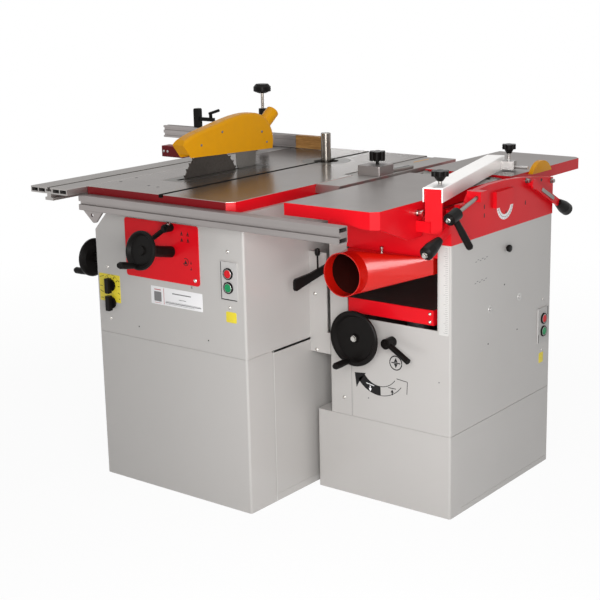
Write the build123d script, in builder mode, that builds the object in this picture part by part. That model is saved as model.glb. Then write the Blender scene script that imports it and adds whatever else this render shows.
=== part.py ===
from math import cos, radians, sin, sqrt
import os

from build123d import *

os.makedirs("parts", exist_ok=True)

# Millimetres. The origin is on the floor under the middle of the saw cabinet:
# +X to the right seen from the front, +Y to the back, +Z up.

# Shared sizes
table_top = 847
table_plate = 12
sheet = 3
bend_radius = 6
running_gap = 0.3
shaft_radius = 8
pin_radius = 5

# Saw cabinet
saw_width = 546
saw_depth = 810
saw_seam = 428
saw_rim = 30
shoulder_width = 46
seam_groove = 1.5
seam_height = 2
lap_depth = 1
lap_border = 14
finger_gap = 174
flange_border = 31
saw_left = -saw_width / 2
saw_right = saw_width / 2
saw_front = -saw_depth / 2
saw_back = saw_depth / 2
saw_top = table_top - saw_rim
shoulder_x = saw_left + shoulder_width
shoulder_low = saw_top - 99
shoulder_high = saw_top - 50
saw_lap_front = saw_front + 102

# Saw table
saw_table_left = saw_left + 9
saw_table_right = saw_right - 15
saw_table_step = saw_table_right - 32
saw_table_step_y = saw_back - 310
saw_table_front = saw_front - 25
saw_table_back = saw_back + 130
rim_thick = 9
rim_low = saw_top
plate_low = table_top - table_plate
slot_x = saw_left + 287
slot_width = 16
slot_depth = 9
rib_thick = 12
corner_cut = 18

# Blade and its insert
blade_x = saw_left + 162
blade_y = -93
blade_drop = 47
blade_z = table_top - blade_drop
blade_radius = 127
blade_thick = 3
blade_teeth = 40
tooth_depth = 7
arbor_radius = 12.5
flange_radius = 25
kerf_left = 11
kerf_right = 5
kerf_front = blade_y - blade_radius - 8
kerf_back = blade_y + blade_radius + 86
insert_left = 45
insert_right = 30
insert_front = kerf_front - 24
insert_back = kerf_back + 12
insert_thick = 4
insert_ledge = 6
insert_gap = 0.4

# Saw trunnions and the tilting cradle
trunnion_outer = 84
trunnion_inner = 64
trunnion_thick = 15
trunnion_front = insert_front - 18
trunnion_back = insert_back + 18
cradle_tongue = 18
cradle_plate = 12
cradle_beam = (blade_x + 103, blade_x + 159)
cradle_floor = (table_top - 313, table_top - 291)
cradle_post_radius = 15
cradle_post_top = table_top - 35
cradle_post_x = blade_x + 131
cradle_post_front = trunnion_front + 65
cradle_post_back = trunnion_back - 98

# Saw lifting carriage and drive
arbor_left = blade_x - 17
arbor_right = blade_x + 254
housing_radius = 27
housing_left = blade_x + 23
housing_right = blade_x + 217
sleeve_radius = 25
sleeve_z = (table_top - 157, table_top - 75)
motor_radius = 54
motor_x = (blade_x + 106, blade_x + 215)
motor_shaft_radius = 10
motor_drop = 133
motor_z = blade_z - motor_drop
saw_pulley_radius = 30
motor_pulley_radius = 38
pulley_x = (blade_x + 223, blade_x + 249)
pulley_groove = 20
belt_thick = 4
belt_width = 18
knife_thick = 2.5
knife_front = blade_y + blade_radius
knife_back = knife_front + 66
knife_top = table_top + 98
knife_low = table_top - 109
knife_neck = table_top + 45
knife_gap = 4

# Saw guard
guard_width = 42
guard_wall = 2.5
guard_round = 10
spout_radius = 20
spout_length = 84
guard_pivot_y = knife_back + 19
guard_pivot_z = table_top + 80
guard_pin_radius = 4
guard_boss_radius = 9

# Moulder spindle
spindle_x = saw_left + 294
spindle_y = saw_back - 118
spindle_radius = 15
spindle_top = table_top + 86
spindle_bottom = table_top - 257
collar_flange_radius = 24
ring_radius = 75
ring_hole_radius = 38
ring_thick = 6
quill_radius = 34
quill_z = (table_top - 207, table_top - 27)
boss_radius = 52
boss_low = table_top - 157
moulder_pulley_radius = 45

# Red control panel and what is on it
panel_x = (saw_left + 123, saw_right - 154)
panel_z = (saw_top - 211, saw_top - 49)
panel_thick = 3
wheel_tilt = 12
rise_shaft_x = panel_x[1] - 94
rise_shaft_z = panel_z[0] + 84
rise_reach = 124
rise_inside = 60
rise_wheel_radius = 52
sleeve_black_radius = 15
grip_radius = 9.5
grip_length = 72
panel_lever_x = panel_x[1] - 95
panel_lever_z = panel_z[1] - 11
tilt_shaft_y = saw_front + 42
tilt_shaft_z = saw_top - 191
tilt_wheel_radius = 55
tilt_reach = 60
tilt_inside = 70

# Selectors and switches
selector_x = saw_left + 55
selector_upper_z = saw_top - 250
selector_lower_z = saw_top - 300
selector_radius = 17
selector_shaft_radius = 4
selector_grip = (14, 14, 42)
switch_width = 58
switch_height = 100
switch_thick = 4
switch_box_width = 40
switch_box_height = 78
switch_box_depth = 24
button_radius = 11
button_spread = 37
button_out = 5
button_in = 9
button_travel = 4
button_edge = 1.5
front_switch_x = saw_right - 51
front_switch_z = saw_top - 181

# Sliding table, its rail and the outrigger
slide_x = (saw_left - 138, saw_left + 8)
slide_y = (saw_front - 100, saw_table_back + 5)
slide_thick = 17.5
slide_low = table_top - slide_thick
slot_centre_x = (slide_x[0] + slide_x[1]) / 2
tee_width = 11
tee_depth = 5
tee_under_width = 20
tee_under_depth = 6
slide_rail_x = (slide_x[0] + 45, saw_table_left)
slide_rail_y = (saw_front + 110, saw_table_back - 5)
slide_rail_z = (table_top - 47, slide_low - running_gap)
rib_x = (slot_centre_x - 8, slot_centre_x + 8)
rib_head_x = (slot_centre_x - 16, slot_centre_x + 16)
rib_drop = 18
rib_head = 8
outrigger_x = (slide_x[0] - 271, slide_x[0])
outrigger_y = (slide_y[1] - 240, slide_y[1] - 200)
outrigger_z = (table_top - 37, table_top)
outrigger_wall = 4

# Crosscut fence, stop and clamp
fence_x = (slide_x[0] - 423, slide_x[1] + 24)
fence_end_x = fence_x[1] + 120
fence_y = (slide_y[1] - 70, slide_y[1] - 40)
fence_z = (table_top + 1, table_top + 42)
fence_pivot_y = (fence_y[0] + fence_y[1]) / 2
fence_plug_depth = 1
groove_width = 9
groove_depth = 5
stop_x = (fence_x[0] + 140, fence_x[0] + 164)
stop_arm_x = stop_x[1] + 63
clamp_y = fence_y[0] - 108
clamp_screw_x = slot_centre_x + 51
clamp_column_radius = 11
clamp_flange_radius = 20
clamp_arm_z = (table_top + 55, table_top + 98)
clamp_arm_width = 34
clamp_boss_radius = 13
clamp_boss_top = table_top + 138
clamp_screw_radius = 5
clamp_foot_radius = 16
clamp_foot_z = (table_top + 23, table_top + 33)
clamp_knob_radius = 28
clamp_knob_z = (table_top + 187, table_top + 216)

# Planer cabinet
planer_table_width = 268
planer_plinth_left = saw_right + 23
planer_left = saw_right + 69
planer_right = planer_left + planer_table_width + 117
planer_front = -136
planer_back = saw_back
planer_seam = 227
planer_lap_front = planer_front + 56
belt_opening_x = (planer_left + 38, planer_left + 158)
belt_opening_y = (60, 200)
planer_top = table_top - 112
opening_x = (planer_left + 61, planer_right - 40)
opening_low = planer_top - 226
side_switch_y = planer_back - 48
side_switch_z = planer_seam + 194

# Planer tables and cutterblock
planer_table_x = (planer_left + 40, planer_left + 40 + planer_table_width)
cutter_y = planer_front + 397
infeed_y = (planer_front - 219, cutter_y - 41)
outfeed_y = (cutter_y + 41, planer_back + 331)
planer_rim = 9
planer_rim_low = table_top - 32
flange_width = 13
flange_thick = 4
web_low = table_top - 91
web_y = infeed_y[0] + 141
web_back = infeed_y[0] + 205
nose_low = table_top - 45
nose_length = 20
lip_x = (planer_table_x[1] - 101, planer_table_x[1] - 46)
lip_low = table_top - 43
table_relief = 30
cutter_radius = 36
cutter_z = table_top - cutter_radius
cutter_x = (planer_table_x[0] + 14, planer_table_x[1] - 14)
journal_radius = 15
roller_radius = 24
roller_journal_radius = 10
roller_reach = 82
roller_z = table_top - 50
depth_travel = 3

# Planer body
cheek_thick = 15
bearing_skin = 3
cheek_top = table_top - 21
cheek_step = 14
member_thick = 14
member_z = (planer_top, planer_top + 57)
hinge_x = planer_left + 16
hinge_z = table_top - 15
hinge_radius = 6
lug_radius = 11
lug_width = 22
frame_lug_y = (planer_front + 116, cutter_y - 166, planer_back - 5)
infeed_lug_y = (frame_lug_y[0] + 55, frame_lug_y[1] + 60)
outfeed_lug_y = (cutter_y + 84, frame_lug_y[2] + 55)
ledge_x = (planer_table_x[1] - 14, planer_table_x[1] + 10)
ledge_clear = 60
scale_boss_y = (planer_front + 208, planer_front + 301)
scale_boss_z = (table_top - 47, table_top - 4)
scale_boss_out = 10

# Yellow end cap
cap_radius = 66
cap_y = outfeed_y[0] + 158
cap_z = (table_top - 7, table_top + 26)
cap_width = 14

# Front rail
rail_x = (saw_left + 8, planer_table_x[1] - 30)
rail_depth = 35
rail_z = (saw_top - 32, saw_top + 9)
rail_wall = 3
rail_groove = 9
rail_groove_depth = 7
gusset_x = (rail_x[0] + 7, rail_x[0] + 83)
gusset_tip_x = rail_x[0] + 50
gusset_tip_z = rail_z[0] - 38
gusset_thick = 6
gusset_round = 12

# Bridge guard
bridge_angle = 15
bridge_near_x = planer_table_x[1] + 49
bridge_near_y = web_y + 35
bridge_length = 606
bridge_width = 52
bridge_wall = 3
bridge_z = (table_top + 4, table_top + 40)
bridge_pin_radius = 3.5
bridge_knob_radius = 24
block_knob_radius = 21
bridge_knob_height = 26
clamp_block = (37, 32, 24)
clamp_rod_length = 62
upright_width = 45
upright_thick = 8
upright_inset = 12
upright_low = web_low + 14
upright_arm_z = (web_low + 16, web_low + 44)
upright_top = bridge_z[1] - bridge_wall - running_gap

# Planer levers
lever_x = planer_right + 11
lever_thick = 6
lever_width = 20
lever_hub_radius = 14
lever_pin_radius = 6
lever_grip_radius = 18
lever_grip_length = 68
infeed_pivot_y = planer_front + 56
infeed_pivot_z = table_top - 27
infeed_lock_reach = (-148, -59)
outfeed_pivot_y = cutter_y + 7
outfeed_pivot_z = table_top - 9
outfeed_lock_reach = (154, -78)
depth_x = planer_right + 28
depth_hub_y = planer_front - 36
depth_hub_z = table_top - 27
depth_rise = 15
depth_rod_radius = 5
depth_rod_length = 150
depth_hub_radius = 16
depth_hub = (-20, 18)
depth_lug_at = 125
depth_lug_width = 32

# Dust hood
mouth_x = planer_left + 131
mouth_y = planer_front - 119
mouth_z = planer_top - 82
mouth_radius = 58
mouth_straight = 34
hood_wall = 2.5
hood_edge = 3
chute_x = (opening_x[0] + 9, opening_x[1] - 13)
chute_z = (planer_top - 80, planer_top - 36)
chute_back = cutter_y + 57
chute_mouth_front = cutter_y - 56
apron_gap = 0.5

# Thicknesser
bed_x = (opening_x[0] + 5, opening_x[1] - 11)
bed_y = (planer_front - 2, planer_back - 7)
bed_top = opening_low + 53
bed_thick = 41
bed_plate = 14
bed_rim = 10
column_radius = 18
column_y = (planer_front + 136, planer_front + 398)
column_x = (bed_x[0] + bed_x[1]) / 2
column_top = bed_top - 34
collar_radius = 32
collar_low = bed_top - 162
bed_wheel_x = planer_left + 122
bed_wheel_z = opening_low - 41
bed_wheel_radius = 75
bed_wheel_reach = 62
bed_wheel_inside = 60
bed_lock_x = planer_left + 206
bed_lock_z = opening_low - 49
feed_pivot_y = planer_front + 36
feed_pivot_z = planer_top - 92
feed_lever_length = 182
feed_lever_thick = 7
motor_centre = (planer_left + 168, 130, 108)
planer_motor_radius = 72
planer_motor_length = 220
motor_foot = (160, 100, 60)

# Between the tables
filler_x = (saw_table_right + 4, planer_left - 3)
filler_y = (planer_front + 57, saw_table_back - 15)
filler_thick = 25
carriage_x = (filler_x[0], filler_x[1] - 1)
carriage_y = (saw_table_step_y + 18, saw_table_step_y + 91)
carriage_height = 27
lobes = 6
lobe_radius = 8
lobe_circle = 16
lobed_knob_z = (10, 36)
strip_width = 59
strip_y = (planer_front + 2, planer_front + 6)
strip_z = (390, 672)
strip_flange = 30
strip_link = 60


def block(x, y, z, mode=Mode.ADD):
    with Locations(((x[0] + x[1]) / 2, (y[0] + y[1]) / 2, (z[0] + z[1]) / 2)):
        Box(x[1] - x[0], y[1] - y[0], z[1] - z[0], mode=mode)


def bar(start, direction, radius, length, mode=Mode.ADD):
    with Locations(Plane(origin=start, z_dir=direction)):
        Cylinder(radius, length, align=(Align.CENTER, Align.CENTER, Align.MIN), mode=mode)


def prism(plane, points, amount, mode=Mode.ADD):
    with BuildSketch(plane, mode=Mode.PRIVATE) as outline:
        with BuildLine():
            Polyline(*points, close=True)
        make_face()
    extrude(outline.sketch, amount=amount, mode=mode)


def turned(start, direction, points, mode=Mode.ADD):
    """Revolves (radius, distance) points about the line from start along direction."""
    axis = Axis(start, direction)
    across = Plane(origin=start, z_dir=direction).x_dir
    section = Plane(origin=start, x_dir=across, z_dir=across.cross(Vector(*direction)))
    with BuildSketch(section, mode=Mode.PRIVATE) as outline:
        with BuildLine():
            Polyline(*points, close=True)
        make_face()
    revolve(outline.sketch, axis=axis, mode=mode)


def along(start, direction, distance):
    """The point at a distance from start along a direction."""
    return tuple(Vector(*start) + Vector(*direction).normalized() * distance)


def pair(centre, width):
    return (centre - width / 2, centre + width / 2)


def handwheel(start, direction, radius, reach, inside, rim, handle_side):
    """A dished wheel on a shaft: start is where the shaft passes the panel."""
    thick = 16
    disc = reach - thick
    bar(along(start, direction, -inside), direction, shaft_radius, inside + disc)
    bar(along(start, direction, panel_thick + 1), direction, sleeve_black_radius, disc - panel_thick - 1)
    turned(
        along(start, direction, disc),
        direction,
        [(0, 0), (radius - 14, 0), (radius - 3, 5), (radius, 9), (radius, 14), (radius - 3, thick),
         (radius - rim, thick), (radius - rim - 6, 7), (13, 7), (11, 12), (0, 12)],
    )
    side = Vector(*handle_side).normalized()
    seat = Vector(*along(start, direction, disc + 6)) + side * (radius - 10)
    bar(tuple(seat), direction, 5, 16)
    turned(
        along(tuple(seat), direction, 14),
        direction,
        [(0, 0), (7, 0), (8, 6), (grip_radius, 30), (grip_radius, grip_length - 20),
         (grip_radius - 3, grip_length - 14), (0, grip_length - 14)],
    )


# Saw plinth: a folded box with a floor pan, open at the top
with BuildPart() as saw_plinth:
    block((saw_left, saw_right), (saw_front, saw_back), (0, saw_seam))
    fillet(saw_plinth.edges().filter_by(Axis.Z), bend_radius)
    offset(amount=-sheet, openings=saw_plinth.faces().sort_by(Axis.Z)[-1])
    # the front edge of the side panel, where the sheets lap
    block((saw_right - lap_depth, saw_right), (saw_lap_front, saw_back - bend_radius),
          (lap_border + bend_radius, saw_seam - lap_border), Mode.SUBTRACT)
    block((saw_right - sheet, saw_right), (saw_lap_front + sheet, saw_lap_front + sheet + finger_gap),
          (saw_seam - bend_radius, saw_seam), Mode.SUBTRACT)

# Saw cabinet: the upper box, with its sloping left shoulder and a flange under the table
with BuildPart() as saw_cabinet:
    prism(
        Plane.XZ.offset(-saw_back),
        [(saw_left, saw_seam), (saw_right, saw_seam), (saw_right, saw_top), (shoulder_x, saw_top),
         (shoulder_x, shoulder_high), (saw_left, shoulder_low)],
        saw_depth,
    )
    fillet(saw_cabinet.edges().filter_by(Axis.Z), bend_radius)
    prism(
        Plane.XZ.offset(-(saw_back - sheet)),
        [(saw_left + sheet, saw_seam), (saw_right - sheet, saw_seam), (saw_right - sheet, saw_top - sheet),
         (shoulder_x + sheet, saw_top - sheet), (shoulder_x + sheet, shoulder_high - 1),
         (saw_left + sheet, shoulder_low - 1)],
        saw_depth - 2 * sheet,
        Mode.SUBTRACT,
    )
    block((shoulder_x + flange_border, saw_right - flange_border),
          (saw_front + flange_border, saw_back - flange_border), (saw_top - 2 * sheet, saw_top + 1),
          Mode.SUBTRACT)
    rise_out = (0, -cos(radians(wheel_tilt)), sin(radians(wheel_tilt)))
    rise_start = (rise_shaft_x, saw_front - panel_thick, rise_shaft_z)
    bar(along(rise_start, rise_out, -30), rise_out, shaft_radius + running_gap, 60, Mode.SUBTRACT)
    bar((saw_left - 1, tilt_shaft_y, tilt_shaft_z), (1, 0, 0), shaft_radius + running_gap, 20, Mode.SUBTRACT)
    block(pair(front_switch_x, switch_box_width), (saw_front - 1, saw_front + 10),
          pair(front_switch_z, switch_box_height), Mode.SUBTRACT)
    for height in (selector_upper_z, selector_lower_z):
        bar((selector_x, saw_front - 1, height), (0, 1, 0), selector_shaft_radius + running_gap, 10,
            Mode.SUBTRACT)
    bar((panel_lever_x, saw_front - 1, panel_lever_z), (0, 1, 0), pin_radius + running_gap, 10,
        Mode.SUBTRACT)
    groove = saw_seam + seam_height
    block((saw_right - seam_groove, saw_right), (saw_front, saw_back), (saw_seam, groove), Mode.SUBTRACT)
    block((saw_left, saw_right), (saw_front, saw_front + seam_groove), (saw_seam, groove), Mode.SUBTRACT)

# Saw table: a cast plate with a rim, ribs, the spindle boss and the saw's trunnions below
with BuildPart() as saw_table:
    table_outline = [
        (saw_table_left, saw_table_front), (saw_table_right - corner_cut, saw_table_front),
        (saw_table_right, saw_table_front + corner_cut), (saw_table_right, saw_table_step_y),
        (saw_table_step, saw_table_step_y), (saw_table_step, saw_table_back),
        (saw_table_left, saw_table_back),
    ]
    prism(Plane.XY.offset(rim_low), table_outline, table_top - rim_low)
    fillet(saw_table.faces().sort_by(Axis.Z)[-1].edges(), 1)
    inner_left = saw_table_left + rim_thick
    inner_step = saw_table_step - rim_thick
    inner_right = saw_table_right - rim_thick
    inner_front = saw_table_front + rim_thick
    inner_back = saw_table_back - rim_thick
    cut = corner_cut + 4
    prism(
        Plane.XY.offset(rim_low),
        [(inner_left, inner_front), (inner_right - cut, inner_front), (inner_right, inner_front + cut),
         (inner_right, saw_table_step_y - rim_thick), (inner_step, saw_table_step_y - rim_thick),
         (inner_step, inner_back), (inner_left, inner_back)],
        plate_low - rim_low,
        Mode.SUBTRACT,
    )
    for rib in (shoulder_x + 8, saw_table_step - 30):
        block(pair(rib, rib_thick), (saw_front + 4, saw_back - 4), (rim_low, plate_low))
    # housing of the moulder quill
    bar((spindle_x, spindle_y, boss_low), (0, 0, 1), boss_radius, plate_low - boss_low)
    bar((spindle_x, spindle_y, plate_low - 10), (0, 0, 1), ring_radius + 12, 10)
    # half rings that carry the cradle, centred on the tilt line at the table's top
    for near in (trunnion_front, trunnion_back):
        bar((blade_x, near - trunnion_thick / 2, table_top), (0, 1, 0), trunnion_outer, trunnion_thick)
        bar((blade_x, near - trunnion_thick / 2 - 1, table_top), (0, 1, 0), trunnion_inner,
            trunnion_thick + 2, Mode.SUBTRACT)
    block((blade_x - trunnion_outer - 1, blade_x + trunnion_outer + 1), (saw_table_front, saw_table_back),
          (table_top, table_top + trunnion_outer + 1), Mode.SUBTRACT)
    block((blade_x - trunnion_inner - 2, blade_x + trunnion_inner + 2),
          pair(trunnion_front, trunnion_thick + 2), (plate_low, table_top))
    block((blade_x - trunnion_inner - 2, blade_x + trunnion_inner + 2),
          pair(trunnion_back, trunnion_thick + 2), (plate_low, table_top))
    # blade opening, spindle opening and mitre slot
    block((blade_x - insert_left, blade_x + insert_right), (insert_front, insert_back),
          (table_top - insert_thick, table_top), Mode.SUBTRACT)
    block((blade_x - insert_left + insert_ledge, blade_x + insert_right - insert_ledge),
          (insert_front + insert_ledge, insert_back - insert_ledge), (plate_low - 1, table_top),
          Mode.SUBTRACT)
    bar((spindle_x, spindle_y, table_top - ring_thick), (0, 0, 1), ring_radius, ring_thick, Mode.SUBTRACT)
    bar((spindle_x, spindle_y, boss_low), (0, 0, 1), quill_radius + running_gap, 200, Mode.SUBTRACT)
    block(pair(slot_x, slot_width), (saw_table_front, saw_table_back), (table_top - slot_depth, table_top),
          Mode.SUBTRACT)

# Blade insert and spindle ring, both let into the table
with BuildPart() as table_inserts:
    block((blade_x - insert_left + insert_gap, blade_x + insert_right - insert_gap),
          (insert_front + insert_gap, insert_back - insert_gap), (table_top - insert_thick, table_top))
    block((blade_x - kerf_left, blade_x + kerf_right), (kerf_front, kerf_back),
          (table_top - insert_thick - 1, table_top + 1), Mode.SUBTRACT)
    bar((spindle_x, spindle_y, table_top - ring_thick), (0, 0, 1), ring_radius - insert_gap, ring_thick)
    bar((spindle_x, spindle_y, table_top - ring_thick), (0, 0, 1), ring_hole_radius, ring_thick,
        Mode.SUBTRACT)
    block(pair(slot_x, slot_width), (saw_table_front, saw_table_back),
          (table_top - slot_depth, table_top + 1), Mode.SUBTRACT)

# Red control panel
with BuildPart() as control_panel:
    block(panel_x, (saw_front - panel_thick, saw_front), panel_z)
    fillet(control_panel.edges().filter_by(Axis.Y), 8)
    bar(along(rise_start, rise_out, -30), rise_out, shaft_radius + running_gap, 60, Mode.SUBTRACT)
    bar((panel_lever_x, saw_front - panel_thick - 1, panel_lever_z), (0, 1, 0), pin_radius + running_gap, 10,
        Mode.SUBTRACT)

# Start and stop switches: a face plate on a box behind the cabinet's skin
with BuildPart() as switch_plates:
    front_y = saw_front - switch_thick
    block(pair(front_switch_x, switch_width), (front_y, saw_front), pair(front_switch_z, switch_height))
    block(pair(front_switch_x, switch_box_width - 1), (saw_front, saw_front + switch_box_depth),
          pair(front_switch_z, switch_box_height - 1))
    side_x = planer_right + switch_thick
    block((planer_right, side_x), pair(side_switch_y, switch_width), pair(side_switch_z, switch_height))
    block((planer_right - switch_box_depth, planer_right), pair(side_switch_y, switch_box_width - 1),
          pair(side_switch_z, switch_box_height - 1))
    depth = button_in + button_travel + 2
    for level in (-button_spread / 2, button_spread / 2):
        bar((front_switch_x, front_y, front_switch_z + level), (0, 1, 0), button_radius + running_gap, depth,
            Mode.SUBTRACT)
        bar((side_x, side_switch_y, side_switch_z + level), (-1, 0, 0), button_radius + running_gap, depth,
            Mode.SUBTRACT)


def button(start, direction):
    """A push button: start is the centre of its hole in the face plate."""
    turned(
        along(start, direction, -button_in),
        direction,
        [(0, 0), (button_radius, 0), (button_radius, button_in + button_out - button_edge),
         (button_radius - button_edge, button_in + button_out), (0, button_in + button_out)],
    )


with BuildPart() as saw_stop_button:
    button((front_switch_x, front_y, front_switch_z + button_spread / 2), (0, -1, 0))
with BuildPart() as saw_start_button:
    button((front_switch_x, front_y, front_switch_z - button_spread / 2), (0, -1, 0))
with BuildPart() as planer_stop_button:
    button((side_x, side_switch_y, side_switch_z + button_spread / 2), (1, 0, 0))
with BuildPart() as planer_start_button:
    button((side_x, side_switch_y, side_switch_z - button_spread / 2), (1, 0, 0))


def selector(height):
    """A rotary switch knob with a raised grip bar, on a thin shaft through the cabinet's skin."""
    flange_face = saw_front - 6
    grip_width, grip_out, grip_height = selector_grip
    bar((selector_x, saw_front + 20, height), (0, -1, 0), selector_shaft_radius, 26)
    bar((selector_x, saw_front - 1, height), (0, -1, 0), selector_radius, saw_front - 1 - flange_face)
    block(pair(selector_x, grip_width), (flange_face - grip_out, flange_face), pair(height, grip_height))


with BuildPart() as upper_selector:
    selector(selector_upper_z)
with BuildPart() as lower_selector:
    selector(selector_lower_z)

# Front rail: a hollow profile along the saw table's front edge, with a gusset under its left end
with BuildPart() as front_rail:
    rail_y = (saw_table_front - rail_depth, saw_table_front)
    block(rail_x, rail_y, rail_z)
    fillet(front_rail.edges().filter_by(Axis.X), 2)
    middle = (rail_z[0] + rail_z[1]) / 2
    groove_wall = rail_groove / 2 + rail_wall
    lower_hollow = (rail_z[0] + rail_wall, middle - groove_wall)
    upper_hollow = (middle + groove_wall, rail_z[1] - rail_wall)
    for low, high in (lower_hollow, upper_hollow):
        block((rail_x[0] - 1, rail_x[1] + 1), (rail_y[0] + rail_wall, rail_y[1] - rail_wall), (low, high),
              Mode.SUBTRACT)
    block((rail_x[0] - 1, rail_x[1] + 1), (rail_y[0] - 1, rail_y[0] + rail_groove_depth),
          pair(middle, rail_groove), Mode.SUBTRACT)
    prism(
        Plane.XZ.offset(-(rail_y[0] + 14)),
        [(gusset_x[0], rail_z[0]), (gusset_x[1], rail_z[0]), (gusset_tip_x, gusset_tip_z)],
        gusset_thick,
    )
    fillet(front_rail.edges().filter_by(Axis.Y).sort_by(Axis.Z)[0], gusset_round)
    bar((gusset_tip_x - 8, saw_table_front, rail_z[0] - 12), (0, -1, 0), pin_radius, 60, Mode.SUBTRACT)

# Slide rail on the table's left side: a bed with an undercut groove for the sliding table's rib
with BuildPart() as slide_rail:
    block(slide_rail_x, slide_rail_y, slide_rail_z)
    gap = running_gap
    block((rib_x[0] - gap, rib_x[1] + gap), (slide_rail_y[0] - 1, slide_rail_y[1] + 1),
          (slide_low - rib_drop - gap, slide_rail_z[1] + 1), Mode.SUBTRACT)
    block((rib_head_x[0] - gap, rib_head_x[1] + gap), (slide_rail_y[0] - 1, slide_rail_y[1] + 1),
          (slide_low - rib_drop - gap, slide_low - rib_drop + rib_head + gap), Mode.SUBTRACT)

# Sliding table: an aluminium profile with a tee slot and a headed rib below
with BuildPart() as sliding_table:
    block(slide_x, slide_y, (slide_low, table_top))
    fillet(sliding_table.faces().sort_by(Axis.Z)[-1].edges().filter_by(Axis.Y), 1.5)
    block(rib_x, slide_y, (slide_low - rib_drop, slide_low))
    block(rib_head_x, slide_y, (slide_low - rib_drop, slide_low - rib_drop + rib_head))
    ends = (slide_y[0] - 1, slide_y[1] + 1)
    block(pair(slot_centre_x, tee_width), ends, (table_top - tee_depth, table_top), Mode.SUBTRACT)
    block(pair(slot_centre_x, tee_under_width), ends,
          (table_top - tee_depth - tee_under_depth, table_top - tee_depth), Mode.SUBTRACT)
    for left, right in ((slide_x[0] + 4, slide_x[0] + 28), (slide_x[0] + 32, slot_centre_x - 16),
                        (slot_centre_x + 16, slide_x[1] - 32), (slide_x[1] - 28, slide_x[1] - 4)):
        block((left, right), ends, (slide_low + 4, table_top - 4), Mode.SUBTRACT)

# Outrigger beam that carries the far end of the fence
with BuildPart() as outrigger:
    block(outrigger_x, outrigger_y, outrigger_z)
    fillet(outrigger.edges().filter_by(Axis.X), 2)
    block((outrigger_x[0] + outrigger_wall, outrigger_x[1] - outrigger_wall),
          (outrigger_y[0] + outrigger_wall, outrigger_y[1] - outrigger_wall),
          (outrigger_z[0] - 1, outrigger_z[1] - outrigger_wall), Mode.SUBTRACT)

# Crosscut fence: a grooved profile on a pivot plug that sits in the sliding table's slot
with BuildPart() as crosscut_fence:
    block(fence_x, fence_y, fence_z)
    fillet(crosscut_fence.edges().filter_by(Axis.X), 1.5)
    for level in (fence_z[0] + 11, fence_z[1] - 11):
        block((fence_x[0] - 1, fence_x[1] + 1), (fence_y[0] - 1, fence_y[0] + groove_depth),
              pair(level, groove_width), Mode.SUBTRACT)
    block((fence_x[0] - 1, fence_x[1] + 1), pair(fence_pivot_y, groove_width),
          (fence_z[1] - groove_depth, fence_z[1] + 1), Mode.SUBTRACT)
    bar((slot_centre_x, fence_pivot_y, table_top - fence_plug_depth), (0, 0, 1), tee_width / 2 - running_gap,
        fence_z[0] - table_top + fence_plug_depth + 1)
with BuildPart() as fence_end:
    block((fence_x[1], fence_end_x), (fence_y[0] + 2, fence_y[1] - 2), fence_z)
    chamfer(fence_end.edges().filter_by(Axis.Y).sort_by(Axis.X)[-2:], 3)

# Flip stop on the fence's top groove
with BuildPart() as flip_stop:
    top = fence_z[1]
    block(stop_x, pair(fence_pivot_y, 18), (top + running_gap, top + 66))
    block((stop_x[0] + 4, stop_x[1] - 4), pair(fence_pivot_y, groove_width - 2 * running_gap),
          (top - groove_depth + running_gap, top + running_gap))
    fillet(flip_stop.edges().filter_by(Axis.Y).group_by(Axis.Z)[-1], 6)
    block((stop_x[1], stop_arm_x), pair(fence_pivot_y - 1, 12), (top + 24, top + 36))
    bar((stop_arm_x - 14, fence_pivot_y - 1, top + 36), (0, 0, 1), 6, 16)
    bar((stop_arm_x - 20, fence_pivot_y - 1, top + 50), (1, 0, 0.3), 5, 46)

# Hold-down clamp: a column in the tee slot with its arm, and the screw with its knob
with BuildPart() as clamp_column:
    bar((slot_centre_x, clamp_y, table_top), (0, 0, 1), clamp_column_radius, clamp_arm_z[1] - table_top)
    bar((slot_centre_x, clamp_y, table_top), (0, 0, 1), clamp_flange_radius, 8)
    arm_end = clamp_arm_width / 2 + 1
    block((slot_centre_x - arm_end, clamp_screw_x + arm_end), pair(clamp_y, clamp_arm_width), clamp_arm_z)
    fillet(clamp_column.edges().filter_by(Axis.Z).group_by(Axis.X)[-1], 14)
    bar((clamp_screw_x, clamp_y, clamp_arm_z[1]), (0, 0, 1), clamp_boss_radius,
        clamp_boss_top - clamp_arm_z[1])
    bar((clamp_screw_x, clamp_y, clamp_arm_z[0] - 1), (0, 0, 1), clamp_screw_radius + running_gap,
        clamp_boss_top - clamp_arm_z[0] + 2, Mode.SUBTRACT)
with BuildPart() as clamp_screw:
    foot, foot_top = clamp_foot_z
    knob_low, knob_top = clamp_knob_z
    knob_height = knob_top - knob_low
    bar((clamp_screw_x, clamp_y, foot), (0, 0, 1), clamp_screw_radius, knob_low - foot)
    bar((clamp_screw_x, clamp_y, foot), (0, 0, 1), clamp_foot_radius, foot_top - foot)
    turned(
        (clamp_screw_x, clamp_y, knob_low), (0, 0, 1),
        [(0, 0), (clamp_knob_radius / 2, 0), (clamp_knob_radius, 6), (clamp_knob_radius, knob_height - 9),
         (clamp_knob_radius - 8, knob_height), (0, knob_height)],
    )

# Blade: a toothed disc with a bore
with BuildPart() as saw_blade:
    root = blade_radius - tooth_depth
    with BuildSketch(Plane.YZ.offset(blade_x - blade_thick / 2)):
        with Locations((blade_y, blade_z)):
            Circle(root)
            with PolarLocations(0, blade_teeth):
                Polygon((root - 4, -5), (blade_radius, 0), (root - 1, 5), align=None)
            Circle(arbor_radius + 0.05, mode=Mode.SUBTRACT)
    extrude(amount=blade_thick)

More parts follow.
